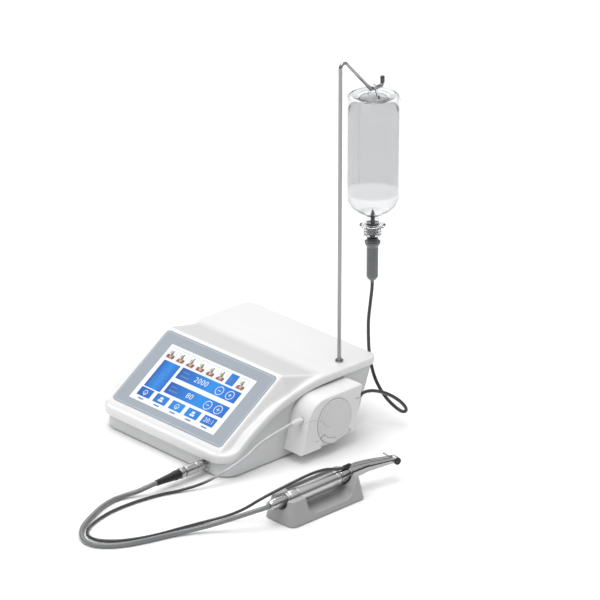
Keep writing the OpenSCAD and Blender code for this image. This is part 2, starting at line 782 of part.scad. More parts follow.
// Plug, cable and tube
module motor_socket() {
    color("silver") placed() difference() {
        union() {
            bar_y(plug_x, socket_y - 2.5, socket_y, plug_z, 7.5);
            bar_y(plug_x, socket_y, socket_y + 16, plug_z, socket_hole_r);
            bar_y(plug_x, socket_y + wall, socket_y + wall + 3, plug_z, 7.5);
        }
        bar_y(plug_x, socket_y - 3, socket_y + 12, plug_z, plug_pin_r + run_fit);
    }
}

module plug_body() {
    color("lightgray") placed() {
        bar_y(plug_x, plug_y, socket_y + 10, plug_z, plug_pin_r);
        bar_y(plug_x, plug_y, socket_y - 2.6, plug_z, plug_r - 0.4);
        bar_y(plug_x, plug_end, plug_y, plug_z, plug_r - 1.6);
        bar_y(plug_x, sleeve_y0, plug_y, plug_z, plug_r - 0.4);
        bar_y(plug_x, plug_end, plug_end + 6, plug_z, plug_r);
    }
}

module plug_sleeve() {
    color("silver") placed() difference() {
        bar_y(plug_x, sleeve_y1, sleeve_y0 - move_gap, plug_z, plug_r + 0.2);
        bar_y(plug_x, plug_end, plug_y + 1, plug_z, plug_r - 1.6 + run_fit);
    }
}

module strain_relief() {
    color("black") placed() difference() {
        translate([plug_x, plug_end, plug_z]) rotate([90, 0, 0])
            cylinder(h = plug_end - relief_end, r1 = plug_r - 0.8, r2 = cable_r + 0.6);
        bar_y(plug_x, relief_end - 1, plug_end + 1, plug_z, cable_r - 0.6);
    }
}

module motor_cable() {
    color("silver") placed() translate([side, 0, 0]) cord(cable_route, cable_r, 10);
}

module irrigation_tube() {
    color("gainsboro") placed() translate([side, 0, 0]) cord(hose_route, hose_r, 8);
}

// Handpiece
module cable_nut() {
    color("silver") placed() on_hand() rotate_extrude() polygon([
        [0.5, nut_y], [5.4, nut_y], [6.4, nut_y + 4], [7, nut_y + 9], [7, motor_y - 3],
        [6.2, motor_y - 3], [6.2, motor_y], [0.5, motor_y]]);
}

module motor_housing() {
    color("silver") placed() on_hand() rotate_extrude() polygon([
        [3, motor_y], [7.4, motor_y], [motor_r - 0.3, motor_y + 5], [motor_r, motor_y + 9],
        [motor_r, motor_end], [nose_r, motor_end], [nose_r, motor_end + 19],
        [motor_shaft_r + 0.6, motor_end + 19], [motor_shaft_r + 0.6, motor_end - 7],
        [motor_r - 1.4, motor_end - 7], [motor_r - 1.4, motor_y + 6], [3, motor_y + 6]]);
}

module hand_ring(y0, y1, r0, r1) {
    on_hand(y0) difference() {
        cylinder(h = y1 - y0, r = r1);
        translate([0, 0, -1]) cylinder(h = y1 - y0 + 2, r = r0);
    }
}

module motor_stator() {
    color("peru") placed() hand_ring(8, 52, 4.6, motor_r - 1.5);
}

module motor_bearings() {
    color("lightgray") placed() {
        hand_ring(0, 4, motor_shaft_r + run_fit, motor_r - 1.5);
        hand_ring(57, 61, motor_shaft_r + run_fit, motor_r - 1.5);
    }
}

module motor_rotor() {
    color("dimgray") placed() {
        on_hand(-3) cylinder(h = motor_end + 14, r = motor_shaft_r);
        on_hand(9) cylinder(h = 42, r = 4.2);
    }
}

module contra_angle_body() {
    color("silver") placed() difference() {
        union() {
            on_hand() rotate_extrude() polygon([[0, shank_y], [motor_r - 0.5, shank_y],
                [motor_r - 0.5, shank_y + 8], [8.2, shank_y + 20], [8.2, neck_y - 6],
                [7.6, neck_y], [0, neck_y]]);
            on_neck() cylinder(h = neck_l - 1, r1 = 7.6, r2 = head_r - 0.6);
            translate([hand_x, neck_y, hand_z]) sphere(r = 7.6);
            on_head() translate([0, 0, -5.2]) cylinder(h = 10.8, r = head_r);
        }
        on_hand(shank_y - 1) cylinder(h = 19.6, r = nose_r + run_fit);
        on_hand(shank_y) cylinder(h = neck_y - shank_y - 5, r = motor_shaft_r + run_fit);
        on_hand(neck_y - 9) cylinder(h = 8, r = 3.2);
        on_neck() translate([0, 0, -1]) cylinder(h = neck_l - 4, r = 1.2 + run_fit);
        on_neck() translate([0, 0, -2.5]) cylinder(h = 7, r = 3);
        on_neck() translate([0, 0, neck_l - 8]) cylinder(h = 8, r = 2.2);
        on_head() translate([0, 0, -6]) cylinder(h = 10.4, r = head_r - 1.1);
        on_head() cylinder(h = 7, r = 2 + run_fit);
    }
}

module drive_shaft() {
    color("dimgray") placed() {
        on_hand(shank_y + 10) cylinder(h = neck_y - shank_y - 14, r = motor_shaft_r);
        on_hand(neck_y - 8) cylinder(h = 5, r = 2.6);
    }
}

module neck_shaft() {
    color("dimgray") placed() {
        on_neck() translate([0, 0, 0.4]) cylinder(h = neck_l - 3, r = 1.2);
        on_neck() translate([0, 0, 0.4]) cylinder(h = 3, r = 2.3);
        on_neck() translate([0, 0, neck_l - 5.6]) cylinder(h = 3, r = 1.7);
    }
}

module bur_spindle() {
    color("lightgray") placed() on_head() difference() {
        union() {
            translate([0, 0, -3]) cylinder(h = 8.4, r = 2);
            translate([0, 0, 2.5]) cylinder(h = 1.6, r = head_r - 1.5);
        }
        translate([0, 0, -4]) cylinder(h = 12, r = bur_r);
    }
}

module bur() {
    color("silver") placed() on_head() {
        translate([0, 0, -2.6]) cylinder(h = 13, r = bur_r);
        translate([0, 0, 10.4]) cylinder(h = 3, r1 = bur_r, r2 = 0.75);
        translate([0, 0, 13.4]) cylinder(h = 8, r = 0.75);
        translate([0, 0, 22]) sphere(r = 1);
    }
}

module chuck_button() {
    color("black") placed() on_head() {
        translate([0, 0, -7.6]) cylinder(h = 1.4, r = head_r - 0.2);
        translate([0, 0, -6.3]) cylinder(h = 2, r = head_r - 1.4);
    }
}

module irrigation_pipe() {
    color("silver") placed() {
        bar_y(connector_x, 82, 93, connector_z, 2.4);
        cord(spline(pipe_points, 4), 0.9, 8);
        hand_ring(88, 92, motor_r - 0.7, motor_r + 0.1);
    }
}

// Stand
module stand_body() {
    low = [stand_x - stand_w / 2, stand_y];
    hull() {
        round_plate([low[0], low[1], stand_base],
            [low[0] + stand_w, low[1] + stand_l, stand_base + 1], 9, 9, $fn = 32);
        round_plate([low[0] + 6.5, low[1] + 5, stand_h - 1],
            [low[0] + stand_w - 6, low[1] + stand_l - 5, stand_h], 7, 7, $fn = 32);
    }
}

module handpiece_stand() {
    far = stand_y + stand_l;
    color("darkgray") placed() difference() {
        stand_body();
        bar_y(hand_x, stand_y - 1, far + 1, hand_z, motor_r + 0.4);
        box([hand_x - motor_r - 0.4, stand_y - 1, hand_z],
            [hand_x + motor_r + 0.4, far + 1, stand_h + 9]);
        side_slab(stand_x - stand_w / 2 + 8, stand_x + stand_w) polygon(concat(
            [[far - 3, stand_h + 9], [stand_y + 27, stand_h + 9]],
            arc([stand_y + 43, 22], 14, 200, 270, 8), arc([far - 33, 22], 14, -90, -20, 8)));
        round_plate([stand_x - 18, stand_y + 8, 0], [stand_x + 18, far - 8, 1.7], 6, 6);
    }
}

module stand_pad() {
    color("dimgray") placed()
        round_plate([stand_x - 17.8, stand_y + 8.2, 0],
            [stand_x + 17.8, stand_y + stand_l - 8.2, 1.7], 6, 6);
}

// Rear panel
module fan_frame() {
    half = fan_size / 2;
    color("black") placed() on_rear() translate([fan_x, fan_up, wall + 0.3]) difference() {
        box([-half, -half, 0], [half, half, 10]);
        bar_z(0, 0, 3, 11, half - 1.5);
        for (i = [0:3]) rotate([0, 0, i * 90]) box([6, -5.5, -1], [half - 3, 5.5, 4]);
        bar_z(0, 0, 1, 11, 1.5 + run_fit);
        for (x = [-16, 16], y = [-16, 16]) bar_z(x, y, -1, 11, 1.6);
    }
}

module fan_rotor() {
    color("dimgray") placed() on_rear() translate([fan_x, fan_up, wall + 0.3]) {
        bar_z(0, 0, 1.5, 9, 1.5);
        bar_z(0, 0, 4.5, 9, 9);
        for (i = [0:6]) rotate([0, 0, i * 360 / 7]) translate([8, 0, 4.8])
            rotate([35, 0, 0]) box([0, -2.4, 1], [9.5, 2.4, 2]);
    }
}

module power_inlet() {
    color("black") placed() on_rear() translate([inlet_x, inlet_up, 0]) difference() {
        union() {
            box([-16, -26, -2], [16, 26, 0]);
            box([-13.8, -23.8, 0], [13.8, 23.8, 20]);
        }
        box([-12, -22, -3], [12, -6, 13]);
        box([-5.6, 0, -3], [5.6, 21, 14]);
        bar_x(-8, 8, 10.5, 4, 1.2 + run_fit);
    }
    color("silver") placed() on_rear() translate([inlet_x, inlet_up, 0])
        for (x = [-7, 0, 7]) box([x - 1, -15, 6], [x + 1, -11, 13]);
}

module power_rocker() {
    color("dimgray") placed() on_rear() translate([inlet_x, inlet_up + 10.5, 4]) {
        bar_x(-7.8, 7.8, 0, 0, 1.2);
        side_slab(-5.2, 5.2) polygon([[-8.2, -4.6], [0, -5.8], [8.2, -8], [8.2, -4], [3, 4],
            [-3, 4], [-8.2, 1]]);
    }
}

module pedal_socket() {
    color("silver") placed() on_rear() translate([pedal_x, pedal_up, 0]) difference() {
        union() {
            bar_z(0, 0, -2, 0, 9.5);
            bar_z(0, 0, 0, 14, 8);
            bar_z(0, 0, wall + 0.2, wall + 3, 10);
        }
        bar_z(0, 0, -3, 10, 6);
    }
}

base_shell();
top_cover();
screen_glass();
display_panel();
control_board();
power_supply();
rubber_feet();
case_screws();
pump_housing();
pump_track();
pump_gearmotor();
pump_shaft();
pump_rotor();
roller_pins();
roller_1();
roller_2();
roller_3();
pump_cover();
pump_tube();
outlet_nozzle();
inlet_fitting();
pole_socket();
pole_lower();
pole_upper();
hook_arm();
bottle();
saline();
bottle_stopper();
bottle_cap();
bottle_hanger();
spike();
drip_chamber();
supply_tube();
motor_socket();
plug_body();
plug_sleeve();
strain_relief();
motor_cable();
irrigation_tube();
cable_nut();
motor_housing();
motor_stator();
motor_bearings();
motor_rotor();
contra_angle_body();
irrigation_pipe();
drive_shaft();
neck_shaft();
bur_spindle();
bur();
chuck_button();
handpiece_stand();
stand_pad();
fan_frame();
fan_rotor();
power_inlet();
power_rocker();
pedal_socket();
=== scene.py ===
import json
import math
import bmesh
import bpy
import numpy as np
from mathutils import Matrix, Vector

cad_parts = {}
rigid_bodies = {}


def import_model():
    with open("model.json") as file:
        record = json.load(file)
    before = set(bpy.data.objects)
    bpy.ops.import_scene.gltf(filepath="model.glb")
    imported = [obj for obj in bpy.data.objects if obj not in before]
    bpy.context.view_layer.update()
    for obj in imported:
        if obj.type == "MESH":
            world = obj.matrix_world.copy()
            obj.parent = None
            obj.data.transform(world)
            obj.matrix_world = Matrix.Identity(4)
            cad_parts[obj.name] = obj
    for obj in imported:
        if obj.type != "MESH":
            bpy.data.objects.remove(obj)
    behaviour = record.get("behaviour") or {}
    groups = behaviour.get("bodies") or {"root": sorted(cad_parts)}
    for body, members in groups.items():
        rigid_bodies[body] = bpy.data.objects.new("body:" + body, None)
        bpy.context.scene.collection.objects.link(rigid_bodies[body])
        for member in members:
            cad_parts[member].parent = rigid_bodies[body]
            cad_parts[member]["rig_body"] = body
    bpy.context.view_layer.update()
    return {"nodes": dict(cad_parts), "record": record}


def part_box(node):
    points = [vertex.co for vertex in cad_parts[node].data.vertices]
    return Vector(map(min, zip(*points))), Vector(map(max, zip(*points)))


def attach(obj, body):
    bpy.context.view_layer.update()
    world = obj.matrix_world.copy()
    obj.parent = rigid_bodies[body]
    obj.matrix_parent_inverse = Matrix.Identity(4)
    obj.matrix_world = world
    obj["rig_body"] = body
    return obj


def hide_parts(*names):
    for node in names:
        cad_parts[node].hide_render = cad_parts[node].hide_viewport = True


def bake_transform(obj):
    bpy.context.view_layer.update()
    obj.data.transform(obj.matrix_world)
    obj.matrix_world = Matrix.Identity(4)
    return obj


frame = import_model()
scene = bpy.context.scene
scene.view_settings.view_transform = "Standard"

# Everything below is in millimetres in the console's own frame: X across with 0 in the middle,
# Y back from the cover's front edge, Z up from the table. place() turns it into the row frame.
cover_low, cover_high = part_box("top_cover")
CONSOLE = Vector(((cover_low.x + cover_high.x) / 2, cover_low.y, 0))
HALF_W = (cover_high.x - cover_low.x) * 500
DEPTH = (cover_high.y - cover_low.y) * 1000


def place(p):
    return CONSOLE + Vector((float(p[0]), float(p[1]), float(p[2]))) / 1000


def unplace(p):
    return (Vector(p) - CONSOLE) * 1000


# ---------------------------------------------------------------- camera
# Its place in metres, and how far it looks down and turns, in degrees
CAMERA_AT = (3.30037, -3.10029, 2.14859)
LOOKS_DOWN, TURNED = 23.374, 46.433
LENS, SENSOR = 240, 36
camera = bpy.data.objects.new("camera", bpy.data.cameras.new("camera"))
scene.collection.objects.link(camera)
scene.camera = camera
camera.location = CAMERA_AT
camera.rotation_euler = (math.radians(90 - LOOKS_DOWN), 0, math.radians(TURNED))
camera.data.sensor_width = SENSOR
camera.data.lens = LENS
camera.data.clip_start = 0.1
camera.data.clip_end = 60


# ---------------------------------------------------------------- materials
def link(tree, a, out, b, name):
    tree.links.new(a.outputs[out], b.inputs[name])


def material(name, color, rough, metal=0.0, grain=900.0, bump=0.05, tint=0.03, stretch=(1, 1, 1),
             edge=0.0, coat=0.0, clear=0.0, ior=1.45, vary=0.04, glow=0.0, patch=14.0):
    """A shader with uneven colour and roughness, and a fine bump. edge rounds sharp edges, in mm,
    clear lets light through, and glow makes the colour shine by itself."""
    m = bpy.data.materials.new(name)
    m.use_nodes = True
    tree = m.node_tree
    nodes = tree.nodes
    shader = nodes["Principled BSDF"]
    shader.inputs["Metallic"].default_value = metal
    shader.inputs["Coat Weight"].default_value = coat
    shader.inputs["Coat Roughness"].default_value = 0.06
    shader.inputs["Transmission Weight"].default_value = clear
    shader.inputs["IOR"].default_value = ior
    where = nodes.new("ShaderNodeTexCoord")
    mapping = nodes.new("ShaderNodeMapping")
    mapping.inputs["Scale"].default_value = stretch
    link(tree, where, "Object", mapping, "Vector")
    fine = nodes.new("ShaderNodeTexNoise")
    fine.inputs["Scale"].default_value = grain
    fine.inputs["Detail"].default_value = 4
    link(tree, mapping, "Vector", fine, "Vector")
    broad = nodes.new("ShaderNodeTexNoise")
    broad.inputs["Scale"].default_value = patch
    broad.inputs["Detail"].default_value = 5
    link(tree, where, "Object", broad, "Vector")
    colours = nodes.new("ShaderNodeValToRGB")
    low = [max(0.0, c * (1 - tint)) for c in color]
    high = [min(1.0, c * (1 + tint)) for c in color]
    colours.color_ramp.elements[0].position = 0.3
    colours.color_ramp.elements[1].position = 0.7
    colours.color_ramp.elements[0].color = (*low, 1)
    colours.color_ramp.elements[1].color = (*high, 1)
    link(tree, broad, "Fac", colours, "Fac")
    if glow:
        shader.inputs["Base Color"].default_value = (0.02, 0.02, 0.02, 1)
        shader.inputs["Emission Strength"].default_value = glow
    link(tree, colours, "Color", shader, "Emission Color" if glow else "Base Color")
    ramp = nodes.new("ShaderNodeMapRange")
    ramp.inputs["To Min"].default_value = max(0.01, rough - vary)
    ramp.inputs["To Max"].default_value = min(1.0, rough + vary)
    link(tree, fine, "Fac", ramp, "Value")
    link(tree, ramp, "Result", shader, "Roughness")
    relief = nodes.new("ShaderNodeBump")
    relief.inputs["Strength"].default_value = bump
    relief.inputs["Distance"].default_value = 0.0002
    link(tree, fine, "Fac", relief, "Height")
    if edge:
        rounding = nodes.new("ShaderNodeBevel")
        rounding.samples = 4
        rounding.inputs["Radius"].default_value = edge / 1000
        link(tree, rounding, "Normal", relief, "Normal")
    link(tree, relief, "Normal", shader, "Normal")
    return m


def fade(m, along, start, end, colours, lit_up=False):
    """Turns a material's colour into a gradient along a direction, between two places in millimetres."""
    tree = m.node_tree
    nodes = tree.nodes
    shader = nodes["Principled BSDF"]
    where = next(n for n in nodes if n.type == "TEX_COORD")
    height = nodes.new("ShaderNodeVectorMath")
    height.operation = "DOT_PRODUCT"
    height.inputs[1].default_value = along
    link(tree, where, "Object", height, 0)
    share = nodes.new("ShaderNodeMapRange")
    share.inputs["From Min"].default_value = place(start).dot(Vector(along))
    share.inputs["From Max"].default_value = place(end).dot(Vector(along))
    link(tree, height, "Value", share, "Value")
    ramp = nodes.new("ShaderNodeValToRGB")
    for i, (at, colour) in enumerate(colours):
        e = ramp.color_ramp.elements[i] if i < 2 else ramp.color_ramp.elements.new(at)
        e.position = at
        e.color = (*colour, 1)
    link(tree, share, "Result", ramp, "Fac")
    link(tree, ramp, "Color", shader, "Emission Color" if lit_up else "Base Color")
    return m


# Name, colour, roughness and the rest of each CAD material slot
M = {}
for name, colour, rough, more in (
    ("white_cover", (0.80, 0.80, 0.805), 0.24, dict(grain=1400, bump=0.02, tint=0.01, coat=0.3)),
    ("grey_base", (0.66, 0.665, 0.67), 0.42, dict(grain=2200, bump=0.12, tint=0.015, edge=1.2)),
    ("front_glass", (0.33, 0.37, 0.42), 0.08, dict(grain=300, bump=0.0, tint=0.02, coat=0.6, vary=0.01)),
    ("lcd", (0.03, 0.08, 0.25), 0.3, dict()),
    ("board", (0.02, 0.13, 0.05), 0.45, dict(grain=400, bump=0.2)),
    ("supply", (0.30, 0.25, 0.12), 0.5, dict(grain=500, bump=0.2)),
    ("foot_rubber", (0.05, 0.05, 0.05), 0.75, dict(bump=0.3)),
    ("screw_steel", (0.62, 0.62, 0.63), 0.28, dict(metal=1, grain=700, edge=0.3)),
    ("pump_white", (0.77, 0.77, 0.775), 0.33, dict(grain=1800, bump=0.06, tint=0.012, edge=0.5)),
    ("track_grey", (0.5, 0.5, 0.5), 0.45, dict()),
    ("motor_grey", (0.10, 0.11, 0.12), 0.4, dict()),
    ("shaft_steel", (0.40, 0.40, 0.41), 0.2, dict(metal=1, grain=900, stretch=(1, 8, 1), edge=0.15)),
    ("roller_white", (0.7, 0.7, 0.68), 0.4, dict(edge=0.3)),
    ("tube_clear", (0.72, 0.73, 0.74), 0.15, dict(coat=0.5)),
    ("nozzle_white", (0.74, 0.74, 0.74), 0.3, dict(edge=0.3)),
    ("black_plastic", (0.012, 0.012, 0.013), 0.35, dict(grain=1600, bump=0.15, edge=0.4)),
    ("pole_chrome", (0.34, 0.34, 0.345), 0.12,
     dict(metal=1, grain=500, bump=0.01, tint=0.015, vary=0.02, edge=0.2)),
    ("bottle_clear", (0.90, 0.91, 0.915), 0.03,
     dict(clear=1.0, ior=1.3, grain=60, bump=0.05, tint=0.01, vary=0.02)),
    ("saline", (0.62, 0.63, 0.64), 0.18,
     dict(clear=1.0, ior=1.06, grain=700, bump=0.4, tint=0.04, patch=90)),
    ("stopper_grey", (0.25, 0.26, 0.27), 0.6, dict(bump=0.2)),
    ("cap_clear", (0.93, 0.94, 0.95), 0.06, dict(clear=0.95, ior=1.35, grain=300, edge=0.3)),
    ("spike_dark", (0.05, 0.05, 0.055), 0.4, dict(bump=0.1, edge=0.3)),
    ("chamber_grey", (0.15, 0.153, 0.16), 0.3, dict(coat=0.4, bump=0.1, tint=0.1, edge=0.2)),
    ("supply_dark", (0.035, 0.035, 0.037), 0.28, dict(coat=0.4, bump=0.1)),
    ("plug_metal", (0.45, 0.45, 0.455), 0.22, dict(metal=1, grain=1200, bump=0.1, tint=0.05, edge=0.2)),
    ("cable_grey", (0.19, 0.195, 0.2), 0.24, dict(grain=1500, bump=0.08, tint=0.03, coat=0.5)),
    ("hose_clear", (0.55, 0.56, 0.57), 0.12, dict(coat=0.6, tint=0.03)),
    ("motor_alu", (0.56, 0.56, 0.565), 0.3,
     dict(metal=1, grain=1500, stretch=(1, 12, 1), bump=0.015, tint=0.015, edge=0.15, vary=0.02)),
    ("copper", (0.45, 0.18, 0.07), 0.35, dict(metal=1, grain=800, stretch=(1, 20, 1), bump=0.4)),
    ("bearing_steel", (0.55, 0.55, 0.56), 0.25, dict(metal=1)),
    ("rotor_dark", (0.2, 0.2, 0.21), 0.35, dict(metal=1)),
    ("head_chrome", (0.42, 0.42, 0.425), 0.14, dict(metal=1, grain=1300, bump=0.03, tint=0.02, edge=0.15)),
    ("stand_grey", (0.36, 0.36, 0.365), 0.36, dict(grain=1700, bump=0.12, tint=0.03)),
    ("pad_rubber", (0.05, 0.05, 0.05), 0.8, dict(bump=0.3)),
):
    M[name] = material(name, colour, rough, **more)
slot_of = {row["node"]: row["material_slot"] for row in frame["record"]["subparts"]}
for node, obj in frame["nodes"].items():
    obj.data.materials.clear()
    obj.data.materials.append(M[slot_of[node]])
    obj.data.set_sharp_from_angle(angle=math.radians(32))


# ---------------------------------------------------------------- mesh helpers
def build(name, points, faces, node, mat, sharp=35, ride=True, others=(), slot=None):
    """A new piece from points in millimetres. It stands for a CAD node and the others named, or, with
    others=None, rides with the node as an extra that replaces nothing."""
    mesh = bpy.data.meshes.new(name)
    mesh.from_pydata([place(p) for p in points], [], [list(f) for f in faces])
    bm = bmesh.new()
    bm.from_mesh(mesh)
    bmesh.ops.recalc_face_normals(bm, faces=bm.faces)
    bm.to_mesh(mesh)
    bm.free()
    mesh.polygons.foreach_set("use_smooth", [True] * len(mesh.polygons))
    mesh.set_sharp_from_angle(angle=math.radians(sharp))
    mesh.materials.append(mat)
    obj = bpy.data.objects.new(name, mesh)
    scene.collection.objects.link(obj)
    if ride:
        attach(obj, frame["nodes"][node]["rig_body"])
    if others is not None:
        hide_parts(node, *others)
    return obj


def fillet(profile, r, steps=3):
    """Rounds the inner corners of an open line of 2-D points."""
    pts = [Vector(p) for p in profile]
    out = [pts[0]]
    for a, b, c in zip(pts, pts[1:], pts[2:]):
        ab, cb = a - b, c - b
        t = min(r, ab.length * 0.45, cb.length * 0.45)
        if t < 1e-4 or abs(ab.normalized().dot(cb.normalized())) > 0.9995:
            out.append(b)
            continue
        p, q = b + ab.normalized() * t, b + cb.normalized() * t
        for k in range(steps + 1):
            s = k / steps
            out.append(p * (1 - s) ** 2 + b * 2 * s * (1 - s) + q * s * s)
    return out + [pts[-1]]


def revolve(start, direction, profile, seg=56, flutes=None):
    """Points and faces of a profile of (radius, distance) turned about an axis. flutes is
    (count, depth, from, to), grooves along the axis between those distances."""
    d = Vector(direction).normalized()
    u = d.cross(Vector((0, 0, 1)) if abs(d.z) < 0.9 else Vector((1, 0, 0))).normalized()
    v = d.cross(u)
    o = Vector(start)
    points, faces = [], []
    for r, h in profile:
        for k in range(seg):
            a = 2 * math.pi * k / seg
            rr = r
            if flutes and flutes[2] <= h <= flutes[3]:
                rr = r - flutes[1] * (0.5 + 0.5 * math.cos(flutes[0] * a)) ** 3
            points.append(o + d * h + (u * math.cos(a) + v * math.sin(a)) * rr)
    for i in range(len(profile) - 1):
        for k in range(seg):
            n = (k + 1) % seg
            faces.append((i * seg + k, i * seg + n, (i + 1) * seg + n, (i + 1) * seg + k))
    faces.append(tuple(range(seg)))
    faces.append(tuple(range((len(profile) - 1) * seg, len(profile) * seg)))
    return points, faces


def add(shape, other):
    """Two sets of points and faces as one."""
    n = len(shape[0])
    return shape[0] + list(other[0]), shape[1] + [tuple(i + n for i in f) for f in other[1]]


def curve(points, step):
    """Even points on a smooth line through the given ones."""
    pts = [np.array(p, float) for p in points]
    ext = [2 * pts[0] - pts[1]] + pts + [2 * pts[-1] - pts[-2]]
    fine = []
    for a, b, c, d in zip(ext, ext[1:], ext[2:], ext[3:]):
        for t in np.linspace(0, 1, 24, endpoint=False):
            fine.append(0.5 * (2 * b + (c - a) * t + (2 * a - 5 * b + 4 * c - d) * t ** 2
                               + (3 * b - a - 3 * c + d) * t ** 3))
    fine.append(pts[-1])
    fine = np.array(fine)
    run = np.concatenate([[0], np.cumsum(np.linalg.norm(np.diff(fine, axis=0), axis=1))])
    count = max(2, int(round(run[-1] / step)))
    at = np.linspace(0, run[-1], count + 1)
    return np.stack([np.interp(at, run, fine[:, k]) for k in range(3)], axis=1)


def sweep(path, radii, sides):
    """Points and faces of a round tube along a path, with one radius, or one for each point."""
    path = np.asarray(path, float)
    radii = np.broadcast_to(radii, (len(path),))
    tangent = np.gradient(path, axis=0)
    tangent /= np.linalg.norm(tangent, axis=1)[:, None]
    up = np.array([0, 0, 1.0]) if abs(tangent[0][2]) < 0.9 else np.array([0, 1.0, 0])
    side = np.cross(tangent[0], up)
    points, faces = [], []
    for p, t, r in zip(path, tangent, radii):
        side = side - (side @ t) * t
        side /= np.linalg.norm(side)
        other = np.cross(t, side)
        for k in range(sides):
            a = 2 * math.pi * k / sides
            points.append(p + r * (math.cos(a) * side + math.sin(a) * other))
    for i in range(len(path) - 1):
        for k in range(sides):
            n = (k + 1) % sides
            faces.append((i * sides + k, i * sides + n, (i + 1) * sides + n, (i + 1) * sides + k))
    faces.append(tuple(range(sides)))
    faces.append(tuple(range((len(path) - 1) * sides, len(path) * sides)))
    return points, faces


def softened(name, node, voxel, rounds, mat):
    """A copy of a CAD node with its edges rounded: remeshed, smoothed and thinned out."""
    source = frame["nodes"][node]
    obj = bpy.data.objects.new(name, source.data.copy())
    scene.collection.objects.link(obj)
    remesh = obj.modifiers.new("remesh", "REMESH")
    remesh.mode = "VOXEL"
    remesh.voxel_size = voxel / 1000
    smooth = obj.modifiers.new("smooth", "SMOOTH")
    smooth.factor = 0.5
    smooth.iterations = rounds
    thin = obj.modifiers.new("thin", "DECIMATE")
    thin.ratio = 0.45
    shape = bpy.data.meshes.new_from_object(obj.evaluated_get(bpy.context.evaluated_depsgraph_get()))
    obj.modifiers.clear()
    obj.data = shape
    shape.materials.clear()
    shape.materials.append(mat)
    shape.polygons.foreach_set("use_smooth", [True] * len(shape.polygons))
    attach(obj, source["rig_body"])
    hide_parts(node)
    return obj


# ---------------------------------------------------------------- cords
# The routes repeat those of the part's source
CABLE = [[80, -76, 12.6], [80, -81, 12.6], [77.5, -90, 10.5], [72, -100, 6.5],
         [66, -113, 4], [64, -132, 3.2],
         [69, -154, 3.2], [77, -173, 3.2], [86, -192, 3.2], [96, -208, 3.2], [109, -221, 3.2],
         [124, -228, 3.2], [140, -226, 3.2], [154, -214, 3.2], [164, -198, 3.2], [171, -180, 3.2],
         [177, -160, 3.2], [183, -140, 3.4], [192, -120, 5], [204, -102, 9], [216, -87, 14.5],
         [228, -73, 20.5], [237, -60, 25], [242, -51, 27.2], [243, -45.5, 27.5], [243, -40.5, 27.5]]
HOSE = [[136, 98, 54.5], [136, 94, 54.5], [135, 87, 52.6], [131, 76, 48],
        [127, 62, 42], [125, 49, 36],
        [124, 36, 29], [122, 22, 23], [119, 6, 17], [115, -12, 11], [109, -32, 6], [99, -56, 2.5],
        [91, -78, 2], [86, -104, 2], [84, -130, 2], [85, -154, 2], [90, -178, 2], [99, -200, 2],
        [113, -214, 2], [130, -214, 2], [147, -200, 2], [160, -178, 2], [169, -152, 2],
        [175, -124, 2], [181, -96, 2], [192, -72, 5], [202, -61, 10],
        [213, -50, 18], [223, -36, 28], [232, -15, 37], [238, 8, 43], [241, 32, 46], [243, 54, 45],
        [244.5, 68, 41], [245, 77, 39.3], [245, 82, 39.3]]
SUPPLY = [[99.5, 272, 183], [99.5, 272, 178], [98.5, 272, 168], [96, 272, 150],
          [94.5, 271, 130], [94.5, 271, 108],
          [97, 270, 88], [101, 270, 70], [108, 270, 54], [117, 271, 41], [126, 273, 31],
          [136, 276, 23], [146, 279, 18], [152, 281, 19], [153, 280, 25], [149, 274, 34],
          [144, 264, 43], [140, 251, 51], [137, 238, 56], [136, 228, 58], [136, 222, 58],
          [136, 218, 58]]


def cord(name, route, node, radius, body_a, body_b, start, end, mat, pieces, **facts):
    """A round tube swept along a cord's route, standing in for its CAD node; it is fixed in place and joined
    to no body.
    """
    path = curve(route, 3)
    shape = sweep(path, radius, 14)
    obj = build(name, *shape, node, mat, ride=False)
    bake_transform(obj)
    return obj


def stepped(name, node, axis, profile, mat, r=0.3, seg=56, flutes=None, extra=(), others=()):
    """A turned piece with small round corners, and any extra shapes joined to it."""
    shape = revolve(*axis, fillet(profile, r), seg, flutes)
    for more in extra:
        shape = add(shape, more)
    return build(name, *shape, node, mat, others=others)


# Plug: a collar, a fluted sleeve and a ribbed boot
PLUG = ((80, 0, 12.6), (0, -1, 0))
stepped("plug_core", "plug_body", PLUG,
        [(0.01, -16), (4.5, -16), (4.5, -4), (6.2, -3.4), (6.2, 5.9), (5.2, 6), (5.2, 33.9), (6.8, 34),
         (6.8, 36.8), (6.4, 37), (6.4, 38), (0.01, 38)], M["plug_metal"], r=0.4)
stepped("plug_grip", "plug_sleeve", PLUG,
        [(5.25, 6.4), (6.6, 6.4), (7, 7), (7, 12), (6.5, 12.4), (6.5, 13.2), (7, 13.6), (7, 27), (6.6, 29.6),
         (5.25, 29.6)], M["plug_metal"], r=0.25, seg=96, flutes=(24, 0.5, 14, 26.5))
boot = [(2.7, 38.05), (6, 38.05), (6.1, 46), (5.5, 46.8), (5.4, 49)]
BOOT_RIBS, RIB_PITCH, BOOT_TAPER = 5, 4, 0.28
for i in range(BOOT_RIBS):
    h = 51 + i * RIB_PITCH
    r = 5.3 - i * BOOT_TAPER
    boot += [(r, h), (r - 0.3, h + 0.4), (r - 0.3, h + 1), (r - 0.08, h + 1.4)]
boot += [(3.75, 75.4), (3.4, 76), (2.7, 76)]
stepped("plug_boot", "strain_relief", PLUG, boot, M["black_plastic"], r=0.2)
plug_parts = ["plug_core", "plug_grip", "plug_boot"]
CABLE_R, HOSE_R, SUPPLY_R = 3.1, 1.9, 2.2
cord("motor_lead", CABLE, "motor_cable", CABLE_R, "console", "handpiece", (140, -150, 3), (236, -150, 3),
     M["cable_grey"], plug_parts, stiffness="medium", lay="loose")
